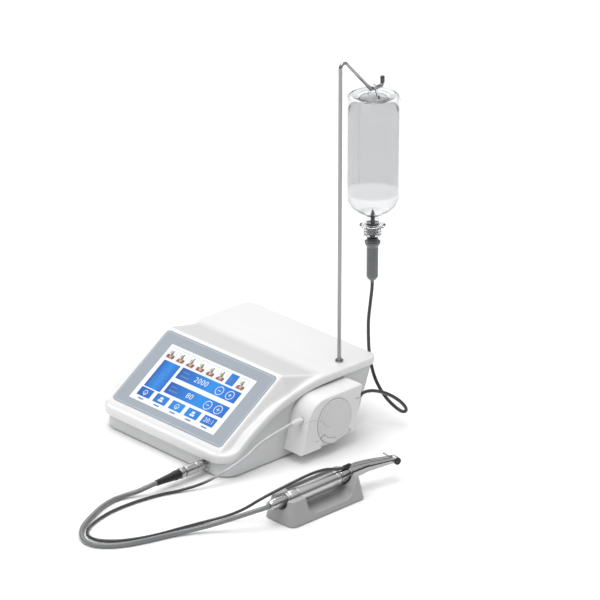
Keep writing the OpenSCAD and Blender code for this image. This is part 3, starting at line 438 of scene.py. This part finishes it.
# Painted shade: the clear hose is coloured dark on the table, and keeps its own pale colour from where it
# climbs beside the console
painted_shade_hose = fade(material("hose_painted_shade", (0.5, 0.5, 0.5), 0.14, coat=0.6), (-0.9, 1, 0),
                (109, -32, 6), (119, 6, 17), [(0, (0.03, 0.03, 0.032)), (1, (0.55, 0.56, 0.57))])
cord("irrigation_hose", HOSE, "irrigation_tube", HOSE_R, "console", "handpiece",
     (150, -150, 2), (236, -150, 2),
     painted_shade_hose, [], stiffness="limp", lay="loose")
cord("saline_line", SUPPLY, "supply_tube", SUPPLY_R, "console", "bottle", (99, 272, 62), (99, 272, 180),
     M["supply_dark"], [], stiffness="limp", lay="hanging")


# ---------------------------------------------------------------- top cover
# The cover's rim seen from the side, as distance back and height, and the screen's slope
EDGE = [[0, 32], [22, 36], [48, 54], [93, 77], [150, 90.2], [205, 91.5]]
edge_line = curve([[y, z, 0] for y, z in EDGE], 1)
TILT = math.radians(33.7)
GLASS_Y, GLASS_Z = 1.5, 32.5
FRONT_R, REAR_R = 28, 14
ROLL = 3.2
RIM_DEPTH = 11.5
CREST_Y, CREST_Z, CREST_FALL = 111.4, 105.4, 0.25


def roof(y):
    """Height of the cover's rim."""
    return np.minimum(np.interp(y, edge_line[:, 0], edge_line[:, 1]), EDGE[-1][1])


def inset(x, y):
    """Distance inwards from the cover's outline."""
    r = np.where(y < DEPTH / 2, FRONT_R, REAR_R)
    qx = np.abs(x) - (HALF_W - r)
    qy = np.abs(y - DEPTH / 2) - (DEPTH / 2 - r)
    out = np.hypot(np.maximum(qx, 0), np.maximum(qy, 0)) + np.minimum(np.maximum(qx, qy), 0)
    return r - out


def soft_min(a, b, k):
    """The lower of two heights, with their crossing rounded over k."""
    h = np.clip(0.5 + 0.5 * (b - a) / k, 0, 1)
    return b * (1 - h) + a * h - k * h * (1 - h)


def soft_max(a, b, k):
    return -soft_min(-a, -b, k)


def screen_plane(y):
    return GLASS_Z + (y - GLASS_Y) * math.tan(TILT)


def cover_height(x, y):
    """The rolled rim, with the screen's raised pod blended onto it."""
    d = inset(x, y)
    roll = ROLL - np.sqrt(np.maximum(ROLL ** 2 - np.maximum(ROLL - d, 0) ** 2, 0))
    base = roof(y) - roll
    top = soft_min(screen_plane(y) - 0.5, CREST_Z - (y - CREST_Y) * CREST_FALL, 3)
    reach = np.interp(y, [0, 111, 171], [104, 104, 110])
    sides = top - (np.abs(x) - reach) * 2.0
    front = screen_plane(7) + (y - 6.5) * 2.2
    pod = soft_min(soft_min(top, sides, 1.8), front, 2)
    return soft_max(base, pod, 2.2)


def cover():
    """The cover's outer skin as a grid that is finest at its edges, with a lip under it."""
    edge = [0, 0.12, 0.4, 0.9, 1.6, 2.4, 3.4, 4.6, 6.0]
    inner = 7.6
    ys = np.concatenate([edge, np.linspace(inner, DEPTH - inner, 168), DEPTH - np.array(edge[::-1])])
    us = np.concatenate([edge, np.linspace(inner, 2 * HALF_W - inner, 150),
                         2 * HALF_W - np.array(edge[::-1])])
    us = us / HALF_W - 1
    r = np.where(ys < DEPTH / 2, FRONT_R, REAR_R)
    inwards = np.maximum(r - np.minimum(ys, DEPTH - ys), 0)
    widths = HALF_W - r + np.sqrt(r ** 2 - inwards ** 2)
    x = widths[:, None] * us[None, :]
    y = np.repeat(ys[:, None], len(us), axis=1)
    z = cover_height(x, y)
    rows, cols = x.shape
    points = list(np.stack([x, y, z], axis=2).reshape(-1, 3))
    faces = [(i * cols + k, i * cols + k + 1, (i + 1) * cols + k + 1, (i + 1) * cols + k)
             for i in range(rows - 1) for k in range(cols - 1)]
    loop = ([k for k in range(cols)] + [i * cols + cols - 1 for i in range(1, rows)]
            + [(rows - 1) * cols + k for k in range(cols - 2, -1, -1)]
            + [i * cols for i in range(rows - 2, 0, -1)])
    rim = []
    e = 0.05
    for i in loop:
        px, py = points[i][:2]
        nx = float(inset(px - e, py) - inset(px + e, py))
        ny = float(inset(px, py - e) - inset(px, py + e))
        size = math.hypot(nx, ny) or 1
        low = float(roof(py)) - (RIM_DEPTH - 2 * py / DEPTH)
        rim.append((px, py, low, nx / size, ny / size))
    before = loop
    for inward, up in ((0, 0.8), (0.25, 0.25), (0.8, 0), (2.4, 0), (2.5, 0.2), (2.5, 6)):
        start = len(points)
        points += [(px - nx * inward, py - ny * inward, low + up) for px, py, low, nx, ny in rim]
        now = list(range(start, start + len(rim)))
        n = len(rim)
        faces += [(before[k], now[k], now[(k + 1) % n], before[(k + 1) % n]) for k in range(n)]
        before = now
    return build("cover_shell", points, faces, "top_cover", M["white_cover"], sharp=60)


cover()


# ---------------------------------------------------------------- screen
def on_glass(x, s, lift):
    """A place across the screen, up its slope and off its glass."""
    return (x, GLASS_Y + s * math.cos(TILT) - lift * math.sin(TILT),
            GLASS_Z + s * math.sin(TILT) + lift * math.cos(TILT))


def rounded(x0, s0, x1, s1, r, steps=5):
    """A rectangle with round corners."""
    out = []
    for cx, cy, a0 in ((x1 - r, s1 - r, 0), (x0 + r, s1 - r, 90),
                       (x0 + r, s0 + r, 180), (x1 - r, s0 + r, 270)):
        for k in range(steps + 1):
            a = math.radians(a0 + 90 * k / steps)
            out.append((cx + r * math.cos(a), cy + r * math.sin(a)))
    return out


def ring_of(outer, inner):
    n = len(outer)
    return outer + inner, [(k, (k + 1) % n, n + (k + 1) % n, n + k) for k in range(n)]


def circle(x, s, r, n=28):
    return [(x + r * math.cos(2 * math.pi * k / n), s + r * math.sin(2 * math.pi * k / n)) for k in range(n)]


def letters(text, x, s, size):
    """The filled shapes of a short text in Blender's own font."""
    data = bpy.data.curves.new("digits", "FONT")
    data.body = text
    data.size = size
    data.align_x = "CENTER"
    data.align_y = "CENTER"
    data.space_character = 1.12
    obj = bpy.data.objects.new("digits", data)
    scene.collection.objects.link(obj)
    bpy.context.view_layer.update()
    mesh = bpy.data.meshes.new_from_object(obj.evaluated_get(bpy.context.evaluated_depsgraph_get()))
    shape = [(x + v.co.x, s + v.co.y) for v in mesh.vertices], [tuple(p.vertices) for p in mesh.polygons]
    bpy.data.objects.remove(obj)
    return shape


class Sheet:
    """Flat printed or lit shapes of one colour, a little above the glass."""

    def __init__(self, name, lift, mat):
        self.name, self.lift, self.mat, self.points, self.faces = name, lift, mat, [], []

    def area(self, outline):
        self.shape(outline, [tuple(range(len(outline)))])

    def shape(self, points, faces):
        n = len(self.points)
        self.points += [on_glass(x, s, self.lift) for x, s in points]
        self.faces += [tuple(i + n for i in f) for f in faces]

    def done(self):
        return build(self.name, self.points, self.faces, "screen_glass", self.mat, others=None)


def lit(name, colour, glow=0.9):
    return material(name, colour, 0.07, grain=200, bump=0.0, tint=0.015, vary=0.01, glow=glow, patch=60)


def blue(name, low, high):
    """A lit blue that is brightest between two places across the screen."""
    return fade(lit(name, (0.0, 0.06, 0.3)), (1, 0, 0), (low, 0, 0), (high, 0, 0),
                [(0, (0.0, 0.10, 0.5)), (1, (0.0, 0.15, 0.68)), (0.55, (0.0, 0.30, 0.92))], lit_up=True)


def picture():
    ground = Sheet("screen_ground", 0.05, lit("screen_white", (0.95, 0.97, 1.0), 1.0))
    ground.area(rounded(-79, 23, 78, 112, 0.5))
    panel = Sheet("screen_panel", 0.1, blue("screen_blue_panel", -72, -42))
    panel.area(rounded(-71.5, 45, -41.5, 88.5, 1))
    bars = Sheet("screen_bars", 0.1, blue("screen_blue_bars", -37, 72))
    bars.area(rounded(-37, 71.5, 71, 89, 1))
    bars.area(rounded(-37, 47.5, 71, 65, 1))
    keys = Sheet("screen_keys", 0.1, blue("screen_blue_keys", -75, 70))
    white = Sheet("screen_marks", 0.15, lit("screen_white_marks", (0.95, 0.97, 1.0)))
    frames = Sheet("screen_tile_frames", 0.1, lit("screen_grey", (0.45, 0.48, 0.55), 0.5))
    gums = Sheet("screen_tile_red", 0.12, lit("screen_red", (0.62, 0.16, 0.12), 0.55))
    teeth = Sheet("screen_tile_cream", 0.14, lit("screen_cream", (0.85, 0.78, 0.6), 0.6))
    tools = Sheet("screen_tile_dark", 0.16, lit("screen_dark", (0.12, 0.16, 0.1), 0.3))
    notes = Sheet("screen_notes", 0.1, lit("screen_blue_grey", (0.2, 0.42, 0.85), 0.6))
    # Eight small picture tiles along the top, with the chosen one blue
    tiles, tile_pitch, chosen = 8, 18.4, 6
    for i in range(tiles):
        x = -67 + i * tile_pitch
        if i == chosen:
            keys.area(rounded(x - 7, 91.5, x + 7, 108.5, 0.8))
            for k in range(3):
                frames.area(rounded(x - 3.5 + k * 3, 95, x - 2.5 + k * 3, 103 - k, 0.3))
            continue
        frames.shape(*ring_of(rounded(x - 7, 91.5, x + 7, 108.5, 0.8),
                              rounded(x - 6.7, 91.8, x + 6.7, 108.2, 0.6)))
        gums.area(circle(x - 4 + (i % 3), 95.5, 2.6, 14))
        gums.area(circle(x + 4, 95.5, 2.6, 14))
        gums.area(rounded(x - 6, 92.3, x + 6, 95.4, 0.5))
        teeth.area(rounded(x - 2.4, 93.5, x + 2.4, 101, 2))
        teeth.area(rounded(x - 4.6, 99, x - 1.4 + (i % 2), 103.5, 1.2))
        tools.area(rounded(x - 0.8, 96 + i * 0.35, x + 0.8, 104 + (i % 3), 0.4))
    # The two value bars with their minus and plus buttons
    for s, words in ((80.3, "2000"), (56.3, "80")):
        white.shape(*letters(words, 4, s, 11))
        notes.area(rounded(-32, s + 1.5, -20, s + 4.5, 0.4))
        notes.area(rounded(-32, s - 4.5, -16, s - 2, 0.4))
        for x in (38, 57):
            white.shape(*ring_of(circle(x, s - 0.5, 6.6), circle(x, s - 0.5, 5.6)))
            white.area(rounded(x - 2.6, s - 0.95, x + 2.6, s - 0.05, 0.2))
        white.area(rounded(56.55, s - 3.1, 57.45, s + 2.1, 0.2))
    # The outline drawing on the tall panel
    for k in range(4):
        notes.area(rounded(-66 + k * 5.4, 50, -64.4 + k * 5.4, 66 + 5 * (k % 2), 0.6))
    notes.shape(*ring_of(circle(-56.5, 73, 6.2), circle(-56.5, 73, 5.4)))
    # Five keys along the bottom with a mark on each and a note under it
    key_pitch = 29.3
    for i in range(5):
        x = -60.5 + i * key_pitch
        keys.area(rounded(x - 11.5, 30.5, x + 11.5, 43.5, 1))
        notes.area(rounded(x - 5, 26, x + 5, 28, 0.5))
        if i == 4:
            white.shape(*letters("20:1", x, 37, 9))
        elif i % 2:
            white.area(rounded(x - 4, 33.6, x + 4, 36.4, 0.6))
            white.area(rounded(x - 2.5, 37.2, x + 2.5, 40.4, 0.6))
        else:
            white.shape(*ring_of(circle(x, 37.2, 3.6), circle(x, 37.2, 2.7)))
            white.area(rounded(x - 0.5, 32.4, x + 0.5, 37.2, 0.2))
    line = Sheet("glass_line", 0.03, material("glass_line", (0.62, 0.66, 0.7), 0.1, tint=0.02))
    line.shape(*ring_of(rounded(-99, 13.1, 99, 125.9, 4.5), rounded(-98.6, 13.5, 98.6, 125.5, 4.2)))
    for sheet in (ground, panel, bars, keys, white, frames, gums, teeth, tools, notes, line):
        sheet.done()


picture()


# ---------------------------------------------------------------- pump
softened("pump_case", "pump_housing", 0.8, 9, M["pump_white"])
PUMP_Y, PUMP_Z = 160, 44
PUMP = ((0, PUMP_Y, PUMP_Z), (1, 0, 0))
PER_RADIAN = 57.3


def sector(r0, r1, a0, a1, x0, x1, soft):
    """A solid ring segment along X with soft corners, about the pump's axis."""
    def outline(cut):
        n = 14
        far, near = cut / r1 * PER_RADIAN, cut / r0 * PER_RADIAN
        rim = [(r1 - cut, a0 + far + (a1 - a0 - 2 * far) * k / n) for k in range(n + 1)]
        rim += [(r0 + cut, a1 - near - (a1 - a0 - 2 * near) * k / n) for k in range(n + 1)]
        return [(PUMP_Y + r * math.cos(math.radians(a)), PUMP_Z + r * math.sin(math.radians(a)))
                for r, a in rim]
    points, faces = [], []
    for x, cut in ((x0, 0.4), (x1 - soft, 0.4), (x1 - soft * 0.3, 0.4 + soft * 0.3), (x1, 0.4 + soft)):
        points += [(x, y, z) for y, z in outline(cut)]
    n = len(points) // 4
    for i in range(3):
        faces += [(i * n + k, i * n + (k + 1) % n, (i + 1) * n + (k + 1) % n, (i + 1) * n + k)
                  for k in range(n)]
    return points, faces + [tuple(range(n)), tuple(range(3 * n, 4 * n))]


def slim(points, r):
    """A thin drawn line."""
    path = curve(points, 0.8)
    return sweep(path, r, 6)


disc = [(0.01, 145.3), (28.7, 145.3), (28.7, 148), (28.1, 148.6), (26.2, 148.6), (26, 148.3), (25.6, 148.3),
        (25.4, 148.6), (19.8, 148.6), (19.6, 148.35), (19.3, 148.35), (19.1, 148.6), (0.01, 148.6)]
tab = sector(22.5, 29.6, 216, 272, 145.4, 150.8, 1.6)
# Painted shadow: a thin dark plate a little larger than the tab, sunk through it
painted_shadow = sector(21.7, 30.4, 214, 274, 148.45, 148.85, 0.1)
lid_mat = material("pump_lid_white", (0.69, 0.69, 0.7), 0.36, grain=1800, bump=0.06, tint=0.012, edge=0.5)
stepped("pump_lid", "pump_cover", PUMP, disc, lid_mat, r=0.3, seg=120, extra=[tab])
mark_mat = material("pump_mark", (0.30, 0.31, 0.33), 0.5, tint=0.05)
# A thin dark sheet just larger than the cover's tab, showing as a rim round it: a painted shadow under the
# tab's lip
build("pump_tab_painted_shadow", *painted_shadow, "pump_cover", material("pump_painted_shadow", (0.3, 0.3, 0.31), 0.4), others=None)
flow = [(148.62, PUMP_Y + y, PUMP_Z + z)
        for y, z in ((-26, 8), (-21, 5.5), (-17, 0.5), (-13, -4), (-8, -5.5))]
build("pump_flow_line", *slim(flow, 0.22), "pump_cover", mark_mat, others=None)
feed = [(148.32, PUMP_Y + y, PUMP_Z + z) for y, z in ((-52, 11), (-44, 12.2), (-37, 11.5), (-30.5, 9.5))]
build("pump_feed_line", *slim(feed, 0.2), "pump_housing", mark_mat, others=None)
arrow = [(148.63, 128 + k * 2.2, 25 + (k % 2) * 0.4) for k in range(3)]
far_arrow = [(148.63, 196, 62), (148.63, 200, 62.6), (148.63, 203, 62)]
build("pump_arrow", *add(slim(arrow, 0.3), slim(far_arrow, 0.3)), "pump_housing", mark_mat, others=None)
NOZZLE = ((136, 98, 54.5), (0, 1, 0))
stepped("nozzle", "outlet_nozzle", NOZZLE,
        [(1.2, 0), (2.5, 0), (2.6, 4), (3.3, 4.2), (3.4, 6), (4.4, 6.3), (4.4, 9), (3.5, 9.3), (3.5, 10.2),
         (4.1, 10.5), (4.1, 12), (3.4, 12.3), (3.4, 17)], M["nozzle_white"], r=0.25)
INLET = ((136, 205.5, 58), (0, 1, 0))
stepped("inlet", "inlet_fitting", INLET,
        [(1.2, 0), (4, 0), (4, 4), (3.3, 4.2), (3.3, 6), (3, 6.3), (3, 7), (3.3, 7.3), (3.3, 12.4),
         (1.2, 12.5)], M["black_plastic"], r=0.25)


# ---------------------------------------------------------------- pole, hook and bottle
def bent(points, bends, step=1.5):
    """Points along straight runs joined by round bends, in the (Y, Z) plane, at most two steps apart."""
    pts = [Vector(p) for p in points]
    out = [pts[0]]
    for (a, b, c), r in zip(zip(pts, pts[1:], pts[2:]), bends):
        u, w = (a - b).normalized(), (c - b).normalized()
        half = math.acos(max(-1, min(1, u.dot(w)))) / 2
        t = r / math.tan(half)
        mid = b + (u + w).normalized() * r / math.sin(half)
        p, q = b + u * t, b + w * t
        for k in range(9):
            v = (p - mid).lerp(q - mid, k / 8)
            out.append(mid + v.normalized() * r)
    out.append(pts[-1])
    fine = []
    for a, b in zip(out, out[1:]):
        n = max(1, int((b - a).length / step))
        fine += [a.lerp(b, k / n) for k in range(n)]
    return fine + [out[-1]]


rod_low, rod_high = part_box("pole_lower")
pole_mid = unplace((rod_low + rod_high) / 2)
ROD = pole_mid.x
hook = bent([(215, 452), (215, 495), (267, 441), (287, 441), (287, 453)], [6, 6, 4.5])
path = [(ROD, p.x, p.y) for p in hook]
ROD_R = (rod_high.x - rod_low.x) * 500
slope = np.interp([p[1] for p in path], [215, 222, 260, 268], [ROD_R, ROD_R * 0.8, ROD_R * 0.8, ROD_R])
radii = list(slope)
radii[-1] = ROD_R - 0.6
build("hook", *sweep(path, radii, 24), "hook_arm", M["pole_chrome"])
knurl = [(ROD_R - 0.2, 445), (ROD_R + 0.3, 445.2)]
for k in range(6):
    knurl += [(ROD_R + 0.35, 445.6 + k * 1.2), (ROD_R + 0.1, 446.2 + k * 1.2)]
stepped("hook_sleeve", "hook_arm", ((ROD, 287, 0), (0, 0, 1)), knurl + [(ROD_R + 0.3, 453), (0.01, 453.4)],
        M["spike_dark"], r=0.1, seg=40, others=None, flutes=(20, 0.25, 445.4, 452.8))
BOTTLE = ((ROD, 272, 0), (0, 0, 1))
BODY_R = 33.5
TOP = 433
WALL = 1.6


def outline(grow):
    """Half the bottle's section, from its base at the top down to its mouth."""
    pts = [(0.01, TOP - 5 + grow), (BODY_R - 15 + grow, TOP - 5 + grow),
           (BODY_R - 11 + grow, TOP - 1.6 + grow)]
    for k in range(7):
        a = math.radians(90 - 15 * k)
        pts.append((BODY_R - 6 + (6 + grow) * math.cos(a), TOP - 6 + (6 + grow) * math.sin(a)))
    for k in range(13):
        a = math.radians(-68 * k / 12)
        pts.append((BODY_R - 24 + (24 + grow) * math.cos(a), 300 + (24 + grow) * math.sin(a)))
    return pts + [(9.8 + grow, 276), (9.8 + grow, 252)]


wall = outline(0) + outline(-WALL)[::-1]
stepped("bottle_glass", "bottle", BOTTLE, wall, M["bottle_clear"], r=1.5, seg=96)
# The saline stops a little short of the wall, and of the bottle's base above it
level = TOP - 16
water = [(0.01, level), (BODY_R - 3.2, level), (BODY_R - 2.4, level - 0.8), (BODY_R - 1.75, level - 1.5)]
water += [p for p in outline(-1.75) if p[1] < 301]
water += [(8.05, 264), (2.7, 264), (2.7, 277), (0.01, 284)]
PALE, DEEP = (0.93, 0.93, 0.935), (0.6, 0.6, 0.605)
fade(M["saline"], (0, 0, 1), (0, 0, 280), (0, 0, 430), [(0, PALE), (1, DEEP), (0.15, PALE), (0.18, DEEP)])
stepped("saline_fill", "saline", BOTTLE, water, M["saline"], r=0.8, seg=96)
collar = [(3.6, 247)]
for k in range(3):
    h = 247 + k * 3
    collar += [(11.2, h), (11.2, h + 1.8), (10.4, h + 2.1), (10.4, h + 2.7)]
collar += [(11.2, 256.4), (12.8, 257), (16.4, 259.8), (16.4, 260.2), (11.4, 260.4), (11.4, 262), (9.95, 262),
           (9.95, 249.4), (3.6, 249.4)]
stepped("neck_ring", "bottle_cap", BOTTLE, collar, M["cap_clear"], r=0.3, seg=72)
stepped("stopper", "bottle_stopper", BOTTLE,
        [(2.65, 249.6), (9.7, 249.6), (9.7, 252), (8.1, 252.2), (8.1, 262), (2.65, 262)],
        M["stopper_grey"], r=0.4)
stepped("spike_pin", "spike", BOTTLE,
        [(0.95, 240.1), (7, 240.1), (7, 243.4), (4.4, 243.8), (4.2, 245.5), (2.6, 246), (2.6, 276),
         (0.4, 282), (0.3, 276), (0.95, 275)], M["spike_dark"], r=0.3)
chamber = [(1.1, 183), (2.4, 183), (2.5, 186), (5.2, 187), (7.3, 190.5)]
for k in range(12):
    h = 192 + k * 3.2
    chamber += [(7.4, h), (7.4, h + 1.9), (7.05, h + 2.2), (7.05, h + 2.9)]
chamber += [(7.4, 231.4), (9.9, 235.6), (10, 238), (7.5, 238.3), (7.4, 240), (6.4, 240), (6.4, 190), (5, 188),
            (1.1, 188)]
stepped("drip_bulb", "drip_chamber", BOTTLE, chamber, M["chamber_grey"], r=0.25)


# ---------------------------------------------------------------- handpiece
HAND_X, HAND_Z = 243, 27.5
HAND = ((HAND_X, 0, HAND_Z), (0, 1, 0))
MOTOR_R = (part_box("motor_housing")[1].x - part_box("motor_housing")[0].x) * 500
stepped("lead_nut", "cable_nut", HAND,
        [(3.2, -40.5), (5, -40.5), (5.4, -40.1), (6.3, -36.6), (6.9, -31.5), (7, -31), (7, -18),
         (6.7, -17.2), (6.2, -17), (6.2, -14.1), (3.2, -14.1)],
        M["plug_metal"], r=0.3, seg=96, flutes=(18, 0.35, -30.5, -18.5))
grip = [(3, -14), (7.2, -14), (8.3, -13), (8.3, -11.4), (7.8, -11.1), (7.8, -10.5), (8.6, -10.2), (9.2, -8.6),
        (MOTOR_R - 0.1, -5), (MOTOR_R, -2), (MOTOR_R, 2.6), (9.35, 2.9), (9.35, 3.5), (MOTOR_R, 3.8),
        (MOTOR_R, 66.4), (9.3, 66.7), (9.3, 67.4), (MOTOR_R, 67.7), (MOTOR_R, 72.6), (9.2, 73),
        (6, 73), (6, 92), (2.1, 92), (2.1, 66), (8.2, 66), (8.2, -8), (3, -8)]
stepped("motor_case", "motor_housing", HAND, grip, M["motor_alu"], r=0.35, seg=96)
# The contra-angle's neck turns by this much, from this place
TURN = math.radians(15)
TURN_Y, NECK_LONG = 116, 45
NECK = (math.sin(TURN), math.cos(TURN))
axis_line = [(HAND_X, y) for y in np.arange(74.7, 110, 0.8)]
axis_line += [(HAND_X + NECK[0] * s, TURN_Y + NECK[1] * s) for s in np.arange(5, 44.4, 0.8)]
smooth_axis = curve([(x, y, HAND_Z) for x, y in axis_line[::5] + [axis_line[-1]]], 0.8)
run = np.concatenate([[0], np.cumsum(np.linalg.norm(np.diff(smooth_axis, axis=0), axis=1))])
shank = [(0, 8.6), (0.4, 9.1), (2.2, 9.1), (2.5, 8.7), (3.1, 8.7), (3.4, 9.1), (8, 9.1), (14, 8.5),
         (20, 8.2), (34, 8.2), (38, 7.9), (42, 7.4), (50, 6.7), (60, 5.8), (70, 5.0), (78, 4.5), (84.4, 4.2)]
widths = np.interp(run, [a for a, _ in shank], [b for _, b in shank])
body = sweep(smooth_axis, widths, 56)
HEAD_AT = (HAND_X + NECK_LONG * NECK[0], TURN_Y + NECK_LONG * NECK[1], HAND_Z)
BUR_ANGLE = math.radians(173)
HEAD = (HEAD_AT, (math.cos(BUR_ANGLE), math.sin(BUR_ANGLE), 0))
shell = [(2.05, 5.6), (3.4, 5.6), (4.4, 4.9), (4.8, 3.6), (4.8, -2.6), (4.65, -2.8), (4.65, -3.2),
         (4.8, -3.4), (4.8, -5), (4.6, -5.2), (3.75, -5.2), (3.75, 4.4), (2.05, 4.4)]
head = revolve(*HEAD, fillet(shell, 0.3), 56)
build("contra_angle", *add(body, head), "contra_angle_body", M["head_chrome"])
stepped("head_cap", "chuck_button", HEAD,
        [(0.01, -5.1), (3.4, -5.1), (3.4, -6.2), (4.6, -6.2), (4.6, -6.9), (4.1, -7.5), (2.6, -7.6),
         (2.4, -7.3), (0.01, -7.3)], M["black_plastic"], r=0.25, seg=48)
tip = [(0.01, -2.6), (1.17, -2.6), (1.17, 9), (1.0, 9.3), (1.0, 10.2), (1.17, 10.5), (1.17, 11), (0.95, 13.4),
       (0.95, 20.4), (0.8, 21)]
tip += [(max(0.01, 1.25 * math.cos(a)), 22 + 1.1 * math.sin(a)) for a in np.linspace(-1.0, math.pi / 2, 7)]
stepped("drill", "bur", HEAD, tip, M["shaft_steel"], r=0.15, seg=32, flutes=(6, 0.28, 21.3, 22.9))
pipe = curve([(245, 92.5, 39.3), (245.5, 104, 39), (248, 124, 37.2), (252, 146, 34.6), (254, 156, 33.9)], 1)
joint = [(0.01, 0), (2.1, 0), (2.4, 0.6), (2.4, 4), (2.1, 4.3), (2.1, 5), (2.4, 5.3), (2.4, 9.6), (1.6, 11),
         (0.01, 11)]
block = revolve((245, 82, 39.3), (0, 1, 0), fillet(joint, 0.25), 32)
band = [(8.9, 0), (9.7, 0), (9.7, 4), (8.9, 4)]
clip = revolve((HAND_X, 88, HAND_Z), (0, 1, 0), fillet(band, 0.3), 56)
build("spray_pipe", *sweep(pipe, 0.9, 14), "irrigation_pipe", M["head_chrome"], slot="head_chrome")
build("pipe_joint", *block, "irrigation_pipe", M["black_plastic"], others=None)
build("pipe_clip", *clip, "irrigation_pipe", M["head_chrome"], others=None, slot="head_chrome")


# ---------------------------------------------------------------- stand
softened("cradle", "handpiece_stand", 0.75, 10, M["stand_grey"])


# ---------------------------------------------------------------- floor and light
def stage_plane(name, size, mat, z=0.0):
    mesh = bpy.data.meshes.new(name)
    corners = [(-size, -size, z), (size, -size, z), (size, size, z), (-size, size, z)]
    mesh.from_pydata(corners, [], [(0, 1, 2, 3)])
    mesh.materials.append(mat)
    obj = bpy.data.objects.new(name, mesh)
    scene.collection.objects.link(obj)
    return obj


stage_plane("floor", 30, material("floor", (0.93, 0.93, 0.93), 0.6, grain=40, bump=0.0, tint=0.004), -0.0002)


def lamp(name, at, aim, size, power, tall=None):
    """A rectangular lamp in metres and watts, pointed at a place."""
    data = bpy.data.lights.new(name, "AREA")
    data.shape = "RECTANGLE"
    data.size = size
    data.size_y = tall or size
    data.energy = power
    obj = bpy.data.objects.new(name, data)
    scene.collection.objects.link(obj)
    obj.location = at
    obj.rotation_euler = (Vector(aim) - Vector(at)).to_track_quat("-Z", "Y").to_euler()
    return obj


lamp("key", (-1.6, 1.0, 1.9), (0, 0, 0.1), 1.2, 10)
lamp("front", (0.2, -2.6, 1.2), (0, 0, 0.1), 0.9, 4, 1.4)
sun = bpy.data.objects.new("sun", bpy.data.lights.new("sun", "SUN"))
scene.collection.objects.link(sun)
sun.data.energy = 1.55
sun.data.angle = math.radians(50)
sun.rotation_euler = Vector((0.05, 0.15, -1)).to_track_quat("-Z", "Y").to_euler()

# A room that is bright above and darker near the table, which is what the metal reflects
world = bpy.data.worlds.new("studio")
scene.world = world
world.use_nodes = True
tree = world.node_tree
back = tree.nodes["Background"]
where = tree.nodes.new("ShaderNodeTexCoord")
split = tree.nodes.new("ShaderNodeSeparateXYZ")
link(tree, where, "Generated", split, "Vector")
sky = tree.nodes.new("ShaderNodeValToRGB")
for i, (at, level) in enumerate(((0.0, 0.6), (1.0, 0.85), (0.04, 0.07), (0.34, 0.1), (0.52, 0.8))):
    e = sky.color_ramp.elements[i] if i < 2 else sky.color_ramp.elements.new(at)
    e.position = at
    e.color = (level, level, level, 1)
link(tree, split, "Z", sky, "Fac")
link(tree, sky, "Color", back, "Color")
back.inputs["Strength"].default_value = 1.0
